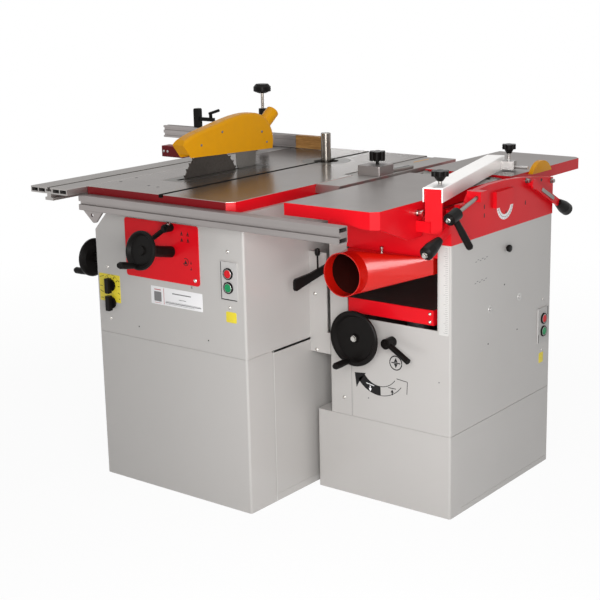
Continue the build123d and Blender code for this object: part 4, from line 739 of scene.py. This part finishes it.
selectorPlate = {
    "centre": (-223.5, 558),
    "size": (82, 79),
    "corner": 3,
    "thick": 0.5,
    "edge": 0.2,
    "ink": 0.12,
    "dial": (-218, 567),
    "ticks": (30, 62, 118, 150),
    "tickBand": (21, 27),
    "tickHalf": 2.4,
    "arcBand": (29.2, 30.2),
    "arcs": [(40, 84), (96, 140)],
    "lineWidth": 1.5,
    "lines": [((-262, 586), (-246, 591)), ((-195, 584), (-185, 580)), ((-262, 548), (-250, 543)),
              ((-193, 548), (-185, 544)), ((-262, 561), (-252, 561)), ((-192, 566), (-185, 566)),
              ((-260, 527), (-250, 527)), ((-190, 530), (-185, 530))],
}


def selectorMarks(plate):
    marks = []
    for turn in plate["ticks"]:
        arc = (turn - plate["tickHalf"], turn + plate["tickHalf"])
        marks.append(arcBand(plate["dial"], plate["tickBand"], arc, steps=2))
    marks += [arcBand(plate["dial"], plate["arcBand"], arc, steps=10) for arc in plate["arcs"]]
    return marks + [strokeOutline(*line, plate["lineWidth"]) for line in plate["lines"]]


addPlate("selectorPlate", selectorPlate, sawFace, "yellowPlate")
addSlab("selectorMarks", selectorMarks(selectorPlate), selectorPlate["ink"],
        onFront(sawFront["face"] - selectorPlate["thick"]), "inkBlack")

dataPlate = {
    "centre": (31, 562),
    "size": (188, 50),
    "corner": 2,
    "thick": 0.6,
    "edge": 0.25,
    "ink": 0.1,
    "field": roundedOutline(width=27, height=27, corner=2, centre=(-38, 559)),
    "redRules": [oblong(-16, -14.6, 540, 584), oblong(-50, -26, 577, 579.4), oblong(-50, -26, 541, 541.9)],
    "greyRules": [oblong(-10, 120, 545, 547.2), oblong(-10, 118, 548.6, 549.4), oblong(16, 84, 572, 575),
                  oblong(40, 66, 558, 559.6), oblong(-10, 96, 542, 542.8)],
}
dataFace = onFront(sawFront["face"] - dataPlate["thick"])
addPlate("dataPlate", dataPlate, sawFace, "whitePlate")
addSlab("dataPlateField", [dataPlate["field"]], dataPlate["ink"], dataFace, "inkGrey")
addSlab("dataPlateLine", dataPlate["redRules"], dataPlate["ink"], dataFace, "inkRed")
addSlab("dataPlateRules", dataPlate["greyRules"], dataPlate["ink"], dataFace, "inkGrey")

sawSticker = {"centre": (224.5, 537.5), "size": (36, 29), "corner": 4, "thick": 0.3, "edge": 0.15}
addPlate("sawSticker", sawSticker, sawFace, "yellowPlate")

# plain arrows on the red panel
panelMarks = {
    "ink": 0.15,
    "arrows": [(62, 745), (84, 745), (62, 728), (84, 728)],
    "arrow": [(-4, -4), (4, -4), (0, 5)],
    "arrowBar": oblong(-5, 5, -6.5, -5.2),
    "wheel": (73, 668),
    "wheelBand": (9, 10.6),
    "wheelArc": (200, 480),
    "wheelArrow": [(-6, -6), (6, -6), (0, 6)],
    "low": [(92, 668), (92, 652)],
    "lowArrow": [(-2.5, -4), (2.5, -4), (0, 5)],
}


def panelMarkShapes(marks):
    shapes = []
    for spot in marks["arrows"]:
        shapes.append(shifted(marks["arrow"], *spot))
        shapes.append(shifted(marks["arrowBar"], *spot))
    shapes.append(arcBand(marks["wheel"], marks["wheelBand"], marks["wheelArc"], steps=26))
    shapes.append(shifted(marks["wheelArrow"], *marks["wheel"]))
    return shapes + [shifted(marks["lowArrow"], *spot) for spot in marks["low"]]


addSlab("panelMarks", panelMarkShapes(panelMarks), panelMarks["ink"], panelFace, "inkBlack")

# collars round the push buttons, and dark strips along the switch plates' edges as painted shadow
switches = {
    "front": [(222, 654.5), (222, 617.5)],
    "side": [(357, 439.5), (357, 402.5)],
    "frontFace": -409,
    "sideFace": 731,
    "collar": [(12.6, 0), (15.6, 0), (15.6, 3.2), (14.8, 4.4), (13.4, 4.4), (12.6, 3.6)],
    "lip": [(11.4, 0), (12.5, 0), (12.5, 4.6), (12.0, 5.0), (11.4, 4.8)],
    "sides": 36,
    "frontPaintedShadow": [oblong(195.8, 198, 586, 685), oblong(195.8, 248, 584.5, 586.8)],
    "sidePaintedShadow": [oblong(329, 331.2, 372, 396), oblong(381, 383.2, 446, 470)],
    "paintedShadowThick": 4.3,
}
planerSideFace = 727
planerRight = onRight(planerSideFace)
for place, label in ((onFront(switches["frontFace"]), "front"), (onRight(switches["sideFace"]), "side")):
    addTurned(label + "SwitchRings", switches["collar"], place, "blackPlastic",
              spots=switches[label], sides=switches["sides"], ring=True)
    addTurned(label + "SwitchLips", switches["lip"], place, "aluBright",
              spots=switches[label], sides=switches["sides"], ring=True)
# painted shadow: dark strips along the switch plates' edges
for place, label in ((sawFace, "front"), (planerRight, "side")):
    addSlab(label + "SwitchPaintedShadow", switches[label + "PaintedShadow"], switches["paintedShadowThick"], place, "inkBlack")

# folded joint down the right side of the saw's plinth, drawn as a pale strip: a painted highlight on the
# fold
plinthFoldHighlight = {"face": 273, "strip": oblong(-296.4, -294, 2, 428), "thick": 0.5, "edge": 0.2}
addSlab("plinthFoldHighlight", [plinthFoldHighlight["strip"]], plinthFoldHighlight["thick"], onRight(plinthFoldHighlight["face"]), "scalePlate",
        edge=plinthFoldHighlight["edge"])

panelHook = {
    "place": (27, -411, 757),
    "line": (0.5, -0.55, 0.65),
    "profile": [(2.6, 0), (2.6, 12), (4.6, 12.5), (4.6, 17), (3.6, 18), (0.5, 18)],
}
addTurned("panelHook", panelHook["profile"], pointing(panelHook["place"], panelHook["line"]), "brightZinc")
print("saw front fitted")


# saw table, slider and saw guard: screw holes, bolts and rivets

# screw holes in the table top drawn as dark discs: painted shade in the holes
tableHolesPaintedShade = {"spots": [(-237, -329), (-250, -254), (-119, -338), (-81, -342)], "radius": 4.2, "face": 847}
addTurned("tableHolesPaintedShade", holeProfile(tableHolesPaintedShade["radius"]), onTop(tableHolesPaintedShade["face"]), "inkBlack",
          spots=tableHolesPaintedShade["spots"], sides=20)

outriggerBolts = {"spots": [(-672, 829), (-655, 829)], "size": (4.5, 3.5), "face": 300}
addTurned("outriggerBolts", screwProfile(*outriggerBolts["size"]), onFront(outriggerBolts["face"]),
          "aluBright", "slider", outriggerBolts["spots"])

guardRivets = {
    "spots": [(-150, 938), (-60, 966), (118, 948), (140, 915)],
    "face": -90,
    "profile": [(3.6, 0), (3.6, 0.6), (2.9, 1.5), (1.4, 2.0), (0.3, 2.1)],
}
addTurned("guardRivets", guardRivets["profile"], onRight(guardRivets["face"]), "castGrey",
          "blade_guard", guardRivets["spots"], sides=20, smooth=40)

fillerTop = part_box("filler_rail")[1][2] / mm
scalePointer = {"outline": [(264, 398), (271, 392), (273, 470), (266, 486)], "thick": 0.15, "edge": 0.05}
addSlab("scalePointer", [scalePointer["outline"]], scalePointer["thick"], onTop(fillerTop), "yellowPlastic",
        edge=scalePointer["edge"])

# steel arm behind the fence carriage, just clear of the filler rail, with its slot drawn as a dark sheet of
# painted shade
carriageArm = {
    "outline": [(298, 184), (324, 184), (335, 246), (335, 292), (312, 300), (304, 252)],
    "slot": [(314, 222), (318, 222), (327, 284), (322, 286)],
    "clear": 0.4,
    "thick": 8,
    "edge": 1.0,
    "ink": 0.2,
}
armLow = fillerTop + carriageArm["clear"]
addSlab("carriageArm", [carriageArm["outline"]], carriageArm["thick"], onTop(armLow), "steelFlat",
        "carriage", edge=carriageArm["edge"])
addSlab("carriageArmSlotPaintedShade", [carriageArm["slot"]], carriageArm["ink"], onTop(armLow + carriageArm["thick"]),
        "inkBlack", "carriage")
print("tables fitted")


# planer's right side: crescent scale, slits, knob, screws and a bare sticker

crescent = {
    "centre": (134, 805),
    "band": (30, 44),
    "arc": (188, 352),
    "thick": 0.6,
    "edge": 0.2,
    "ink": 0.12,
    "lineBand": (36.2, 37.4),
    "lineArc": (198, 342),
    "ticks": 12,
    "firstTick": 200,
    "tickStep": 12.7,
    "tickHalf": 0.7,
    "longBand": (37, 43),       # every third tick is a long one
    "shortBand": (39, 43),
}


def crescentTicks(scale):
    ticks = [arcBand(scale["centre"], scale["lineBand"], scale["lineArc"], steps=24)]
    for step in range(scale["ticks"]):
        turn = scale["firstTick"] + step * scale["tickStep"]
        band = scale["shortBand"] if step % 3 else scale["longBand"]
        arc = (turn - scale["tickHalf"], turn + scale["tickHalf"])
        ticks.append(arcBand(scale["centre"], band, arc, steps=1))
    return ticks


addSlab("crescentScale", [arcBand(crescent["centre"], crescent["band"], crescent["arc"], steps=28)],
        crescent["thick"], planerRight, "whitePlate", edge=crescent["edge"])
addSlab("crescentTicks", crescentTicks(crescent), crescent["ink"],
        onRight(planerSideFace + crescent["thick"]), "inkGrey")

planerSide = {
    "slits": [(26, 811), (26, 788), (246, 789), (140, 778)],
    "slit": (4.5, 12, 2.2),
    "slitInk": 0.15,
    "knob": [(149, 680)],
    "knobProfile": [(6, 0), (6, 2), (9, 3), (10, 5), (10, 9), (8.4, 11), (4, 11.6), (0.6, 11.8)],
    "screws": [(63, 529), (222, 530)],
    "dimpleProfile": [(12, 0), (11.4, 0.8), (8.6, 1.4), (6.4, 0.8), (5.2, 1.0), (4.8, 3), (3.6, 3.6),
                      (0.6, 3.6)],
    "smallScrews": [(357, 496), (357, 346)],
    "smallScrewSize": (3.6, 2),
    "holes": [(53, 436), (211, 440), (137, 582)],
    "holeRadius": 2.4,
    "studs": [(249, 849), (394, 829)],
    "studProfile": [(7.5, 0), (7.5, 2), (5.6, 2.2), (5.6, 9), (4.6, 10), (0.5, 10)],
    "topHole": [(336, 839)],
    "topHoleRadius": 4.5,
}
sideDashes = {
    "rows": [(11, 672), (8, 615)],
    "dash": oblong(-4, 4, -1, 1),
    "count": 6,
    "start": -24,
    "step": 11,
    "lift": 4,          # every second dash stands higher
    "ink": 0.1,
}


def dashRows(dashes):
    rows = []
    for across, up in dashes["rows"]:
        for step in range(dashes["count"]):
            place = across + dashes["start"] + step * dashes["step"]
            rows.append(shifted(dashes["dash"], place, up + (step % 2) * dashes["lift"]))
    return rows


# slits drawn as dark slabs: painted shade in the openings
addSlab("cheekSlitsPaintedShade", [roundedOutline(*planerSide["slit"], spot) for spot in planerSide["slits"]],
        planerSide["slitInk"], planerRight, "inkBlack")
addTurned("sideKnob", planerSide["knobProfile"], planerRight, "blackPlastic",
          spots=planerSide["knob"], sides=32, smooth=35)
addTurned("sideScrews", planerSide["dimpleProfile"], planerRight, "aluBright",
          spots=planerSide["screws"])
addTurned("sideSmallScrews", screwProfile(*planerSide["smallScrewSize"]), planerRight, "brightZinc",
          spots=planerSide["smallScrews"])
# holes drawn as dark domes: painted shade in the holes
addTurned("sideHolesPaintedShade", holeProfile(planerSide["holeRadius"]), planerRight, "inkBlack",
          spots=planerSide["holes"], sides=16)
addSlab("sideDashes", dashRows(sideDashes), sideDashes["ink"], planerRight, "inkGrey")

planerSticker = {"centre": (354, 324), "size": (26, 30), "corner": 4, "thick": 0.3, "edge": 0.15}
addPlate("planerSticker", planerSticker, planerRight, "yellowPlate")
addTurned("cheekStuds", planerSide["studProfile"], planerRight, "steelFlat",
          spots=planerSide["studs"])
# a hole drawn as a dark dome: painted shade in the hole
addTurned("cheekHolePaintedShade", holeProfile(planerSide["topHoleRadius"]), planerRight, "inkBlack",
          spots=planerSide["topHole"], sides=20)
print("planer side fitted")


# planer's front: seam, direction marks, thickness scale and small screws

planerFace = -136
planerFront = onFront(planerFace)

frontSeam = {
    "dark": oblong(413.6, 415, 229, 505),
    "ink": 0.12,
    "pale": oblong(415, 418, 229, 505),
    "thick": 0.5,
    "edge": 0.2,
}
addSlab("frontSeamDark", [frontSeam["dark"]], frontSeam["ink"], planerFront, "inkGrey")
addSlab("frontSeamPale", [frontSeam["pale"]], frontSeam["thick"], planerFront, "greyPaint",
        edge=frontSeam["edge"])

# two-headed bent arrow, one half filled, with a small arrow and a bar in each half
archMark = {
    "centre": (506, 389),
    "radii": (60, 87),
    "filledArc": (216, 272),
    "openArc": (272.6, 323),
    "steps": 16,
    "line": 1.8,
    "tail": [(424, 354), (461, 358), (451, 345), (438, 328), (430, 313)],
    "tip": [(560, 359), (594.5, 355.5), (592.5, 321)],
    "small": [oblong(533, 558, 329, 331), [(541, 318), (551, 318), (546, 327)],
              oblong(544.4, 547.6, 311, 317.8)],
    "ink": 0.15,
    "paleSmall": [[(470, 318), (480, 318), (475, 309)], oblong(473.4, 476.6, 318.2, 325),
                  strokeOutline((462, 331), (488, 326.5), 2)],
    "paleInk": 0.1,
}


def archShapes(mark):
    inner, outer = mark["radii"]
    line = mark["line"]
    shapes = [arcBand(mark["centre"], mark["radii"], mark["filledArc"], mark["steps"]), mark["tail"]]
    for radius in (inner, outer - line):
        shapes.append(arcBand(mark["centre"], (radius, radius + line), mark["openArc"], mark["steps"]))
    first, second, third = mark["tip"]
    shapes.append(strokeOutline(first, second, line))
    shapes.append(strokeOutline(second, third, line))
    return shapes + mark["small"]


addSlab("archMark", archShapes(archMark), archMark["ink"], planerFront, "inkBlack")
addSlab("archArrow", archMark["paleSmall"], archMark["paleInk"], onFront(planerFace - archMark["ink"]),
        "whitePlate")

roundMark = {
    "centre": (557.8, 402),
    "band": (17.4, 20.4),
    "arcs": [(0, 178), (180, 358)],
    "steps": 22,
    "inner": [oblong(-14, 14, -1.6, 1.6), [(-6, 2.4), (6, 2.4), (0, 14)], [(-6, -2.4), (0, -14), (6, -2.4)]],
    "ink": 0.15,
}
roundShapes = [arcBand(roundMark["centre"], roundMark["band"], arc, roundMark["steps"])
               for arc in roundMark["arcs"]]
roundShapes += [shifted(outline, *roundMark["centre"]) for outline in roundMark["inner"]]
addSlab("roundMark", roundShapes, roundMark["ink"], planerFront, "inkBlack")

thicknessScale = {
    "centre": (706.2, 617),
    "size": (28.5, 234),
    "corner": 2,
    "thick": 0.5,
    "edge": 0.2,
    "ink": 0.1,
    "ticks": 45,
    "firstTick": -110,      # from the plate's middle
    "tickStep": 5,
    "tickRight": 12,
    "tickLengths": (13, 8),     # every fifth tick is a long one
    "tickWidth": 0.7,
}


def scaleTicks(scale):
    across, up = scale["centre"]
    right = across + scale["tickRight"]
    long, short = scale["tickLengths"]
    ticks = []
    for step in range(scale["ticks"]):
        height = up + scale["firstTick"] + step * scale["tickStep"]
        length = short if step % 5 else long
        ticks.append(oblong(right - length, right, height, height + scale["tickWidth"]))
    return ticks


addPlate("thicknessScale", thicknessScale, planerFront, "scalePlate")
addSlab("thicknessTicks", scaleTicks(thicknessScale), thicknessScale["ink"],
        onFront(planerFace - thicknessScale["thick"]), "inkGrey")

frontScrews = {
    "size": (5, 2.6),
    "cabinet": [(388, 276)],
    "dots": [(469, 289), (692, 372)],
    "dotRadius": 2.2,
    "strip": [(292, 554), (295, 396)],
    "stripFace": -134,
}
addTurned("frontScrew", screwProfile(*frontScrews["size"]), planerFront, "brightZinc",
          spots=frontScrews["cabinet"])
addTurned("frontDots", holeProfile(frontScrews["dotRadius"]), planerFront, "inkGrey",
          spots=frontScrews["dots"], sides=16)
addTurned("stripScrews", screwProfile(*frontScrews["size"]), onFront(frontScrews["stripFace"]), "brightZinc",
          spots=frontScrews["strip"])

hoodPin = {
    "place": (523, -146, 698),
    "line": (0, 0, 1),
    "profile": [(5, 0), (5, 2), (3.5, 3), (3.5, 9), (5, 11), (5, 15), (3, 17), (0.5, 17.4)],
}
addTurned("hoodPin", hoodPin["profile"], pointing(hoodPin["place"], hoodPin["line"]), "brightZinc",
          smooth=35)

bedEnd = {"spots": [(666, 552), (666, 531)], "size": (4.6, 3.2), "face": -138}
addTurned("bedEndScrews", screwProfile(*bedEnd["size"]), onFront(bedEnd["face"]), "brightZinc",
          "bed", bedEnd["spots"])
print("planer front fitted")


# bolts and nuts on the moving fittings

bedWheelNut = {
    "place": (464, -194, 468),
    "line": (0, -1, 0),
    "profile": [(9, 0), (9, 0.8), (7.6, 0.9), (7.6, 5.2), (6.6, 6), (0.6, 6)],
}
addTurned("bedWheelNut", bedWheelNut["profile"], pointing(bedWheelNut["place"], bedWheelNut["line"]),
          "brightZinc", "bed_wheel", sides=6, smooth=20)

uprightBolt = {
    "start": (672, -178, 820),
    "line": (-1, 0, 0),
    "profile": [(9, 0), (9, 2), (7, 2.2), (7, 9), (5, 9.2), (5, 16), (8, 16.2), (8, 22), (6.5, 23),
                (0.5, 23)],
}
addTurned("uprightBolt", uprightBolt["profile"], pointing(uprightBolt["start"], uprightBolt["line"]),
          "brightZinc", "infeed", smooth=35)


def onLever(lever, x, share):
    # a point on the lever's line, at a share of its reach
    return (x, *[start + way * share for start, way in zip(lever["hub"], lever["reach"])])


gripBolts = {
    "x": 741,
    "share": 0.92,
    "distance": 68,
    "profile": [(8, 0), (8, 1.2), (6.4, 1.4), (6.4, 6), (5.4, 7), (0.5, 7)],
}
for side, lever in lockLevers.items():
    gripEnd = pointing(onLever(lever, gripBolts["x"], gripBolts["share"]), (0, *lever["reach"]),
                       gripBolts["distance"])
    addTurned(side + "GripBolt", gripBolts["profile"], gripEnd, "brightZinc", side + "_lock",
              sides=6, smooth=20)

outfeedBar = {
    "outline": roundedOutline(width=80, height=11, corner=5),
    "x": 744,
    "share": 0.48,
    "thick": 3,
    "edge": 1.2,
}
barLine = Vector((0, *lockLevers["outfeed"]["reach"]))
barPlace = placing(onLever(lockLevers["outfeed"], outfeedBar["x"], outfeedBar["share"]), barLine,
                   Vector((1, 0, 0)).cross(barLine))
addSlab("outfeedBar", [outfeedBar["outline"]], outfeedBar["thick"], barPlace, "steelFlat",
        "outfeed_lock", edge=outfeedBar["edge"])

depthStud = {"distance": 20, "profile": [(6, 0), (6, 5), (5, 6), (4, 6), (4, 11), (0.5, 12)]}
studPlace = pointing(depthLever["hub"], -Vector(depthLever["line"]), depthStud["distance"])
addTurned("depthStud", depthStud["profile"], studPlace, "brightZinc", "depth", sides=20)

feedHandle = {
    "place": (337.5, -179, 628),
    "line": (0, 0, 1),
    "profile": [(2.6, 0), (2.6, 46), (6, 47), (7.5, 52), (7.5, 60), (6, 65), (1, 67)],
}
addTurned("feedHandle", feedHandle["profile"], pointing(feedHandle["place"], feedHandle["line"]),
          "blackPlastic", "feed", smooth=35)
print("fittings done")


# plain studio: pale floor, soft lamps and a white surround

studio = {
    "floorHalf": 9.0,
    "floorColour": (238, 238, 238),
    "floorRoughness": 0.9,
    "glow": (0.94, 1.0),            # white share of the floor near the machine and far from it
    "glowReach": (1.2, 3.0),
    "ambient": 0.24,
    "lamps": {
        "keyLamp": {"place": (1.45, -1.56, 0.97), "aim": (0.3, -0.2, 0.45), "size": 1.0, "power": 30},
        "sideLamp": {"place": (2.6, 1.2, 2.4), "aim": (0.7, 0.1, 0.8), "size": 1.4, "power": 3},
        "topLamp": {"place": (0.2, 0.3, 4.0), "aim": (0.1, 0.1, 0.6), "size": 3.0, "power": 24},
        "backLamp": {"place": (-1.7, 2.6, 0.45), "aim": (0.0, 0.2, 0.4), "size": 1.2, "power": 26},
    },
}


def cameraSeen(tree):
    # camera, glossy and transmission rays all see the white surround
    path = addNode(tree, "ShaderNodeLightPath").outputs
    seen = mathOf(tree, "MAXIMUM", path["Is Camera Ray"], path["Is Glossy Ray"])
    return mathOf(tree, "MAXIMUM", seen, path["Is Transmission Ray"])


def mixShaders(tree, amount, first, second, target):
    mix = addNode(tree, "ShaderNodeMixShader")
    tree.links.new(amount, mix.inputs[0])
    tree.links.new(first.outputs[0], mix.inputs[1])
    tree.links.new(second.outputs[0], mix.inputs[2])
    tree.links.new(mix.outputs[0], target.inputs["Surface"])


def makeWorld(values):
    world = bpy.data.worlds.new("studioWorld")
    bpy.context.scene.world = world
    world.use_nodes = True
    tree = world.node_tree
    tree.nodes.clear()
    white = {"Color": (1, 1, 1, 1)}
    light = addNode(tree, "ShaderNodeBackground", None, {**white, "Strength": values["ambient"]})
    seen = addNode(tree, "ShaderNodeBackground", None, {**white, "Strength": 1.0})
    mixShaders(tree, cameraSeen(tree), light, seen, addNode(tree, "ShaderNodeOutputWorld"))


def makeFloor(values):
    half = values["floorHalf"]
    corners = [(-half, -half, 0), (half, -half, 0), (half, half, 0), (-half, half, 0)]
    mesh = bpy.data.meshes.new("studioFloor")
    mesh.from_pydata(corners, [], [(0, 1, 2, 3)])
    floor = bpy.data.objects.new("studioFloor", mesh)
    bpy.context.collection.objects.link(floor)
    material = bpy.data.materials.new("floorPaper")
    material.use_nodes = True
    tree = material.node_tree
    shader = tree.nodes["Principled BSDF"]
    shader.inputs["Base Color"].default_value = linearColour(*values["floorColour"])
    shader.inputs["Roughness"].default_value = values["floorRoughness"]
    glow = addNode(tree, "ShaderNodeEmission", None, {"Strength": 1.0})
    reach = addNode(tree, "ShaderNodeVectorMath", {"operation": "LENGTH"})
    tree.links.new(addNode(tree, "ShaderNodeNewGeometry").outputs["Position"], reach.inputs[0])
    share = rangeOf(tree, reach.outputs["Value"], values["glowReach"], values["glow"])
    amount = mathOf(tree, "MULTIPLY", share, cameraSeen(tree))
    mixShaders(tree, amount, shader, glow, tree.nodes["Material Output"])
    mesh.materials.append(material)


def makeLamp(name, values):
    lamp = bpy.data.lights.new(name, "AREA")
    lamp.shape = "DISK"
    lamp.size = values["size"]
    lamp.energy = values["power"]
    holder = bpy.data.objects.new(name, lamp)
    bpy.context.collection.objects.link(holder)
    holder.location = values["place"]
    towards = Vector(values["aim"]) - Vector(values["place"])
    holder.rotation_euler = towards.to_track_quat("-Z", "Y").to_euler()
    holder.visible_camera = False


makeWorld(studio)
makeFloor(studio)
for lampName, lampValues in studio["lamps"].items():
    makeLamp(lampName, lampValues)
bpy.context.scene.view_settings.view_transform = "Standard"
print("studio made")
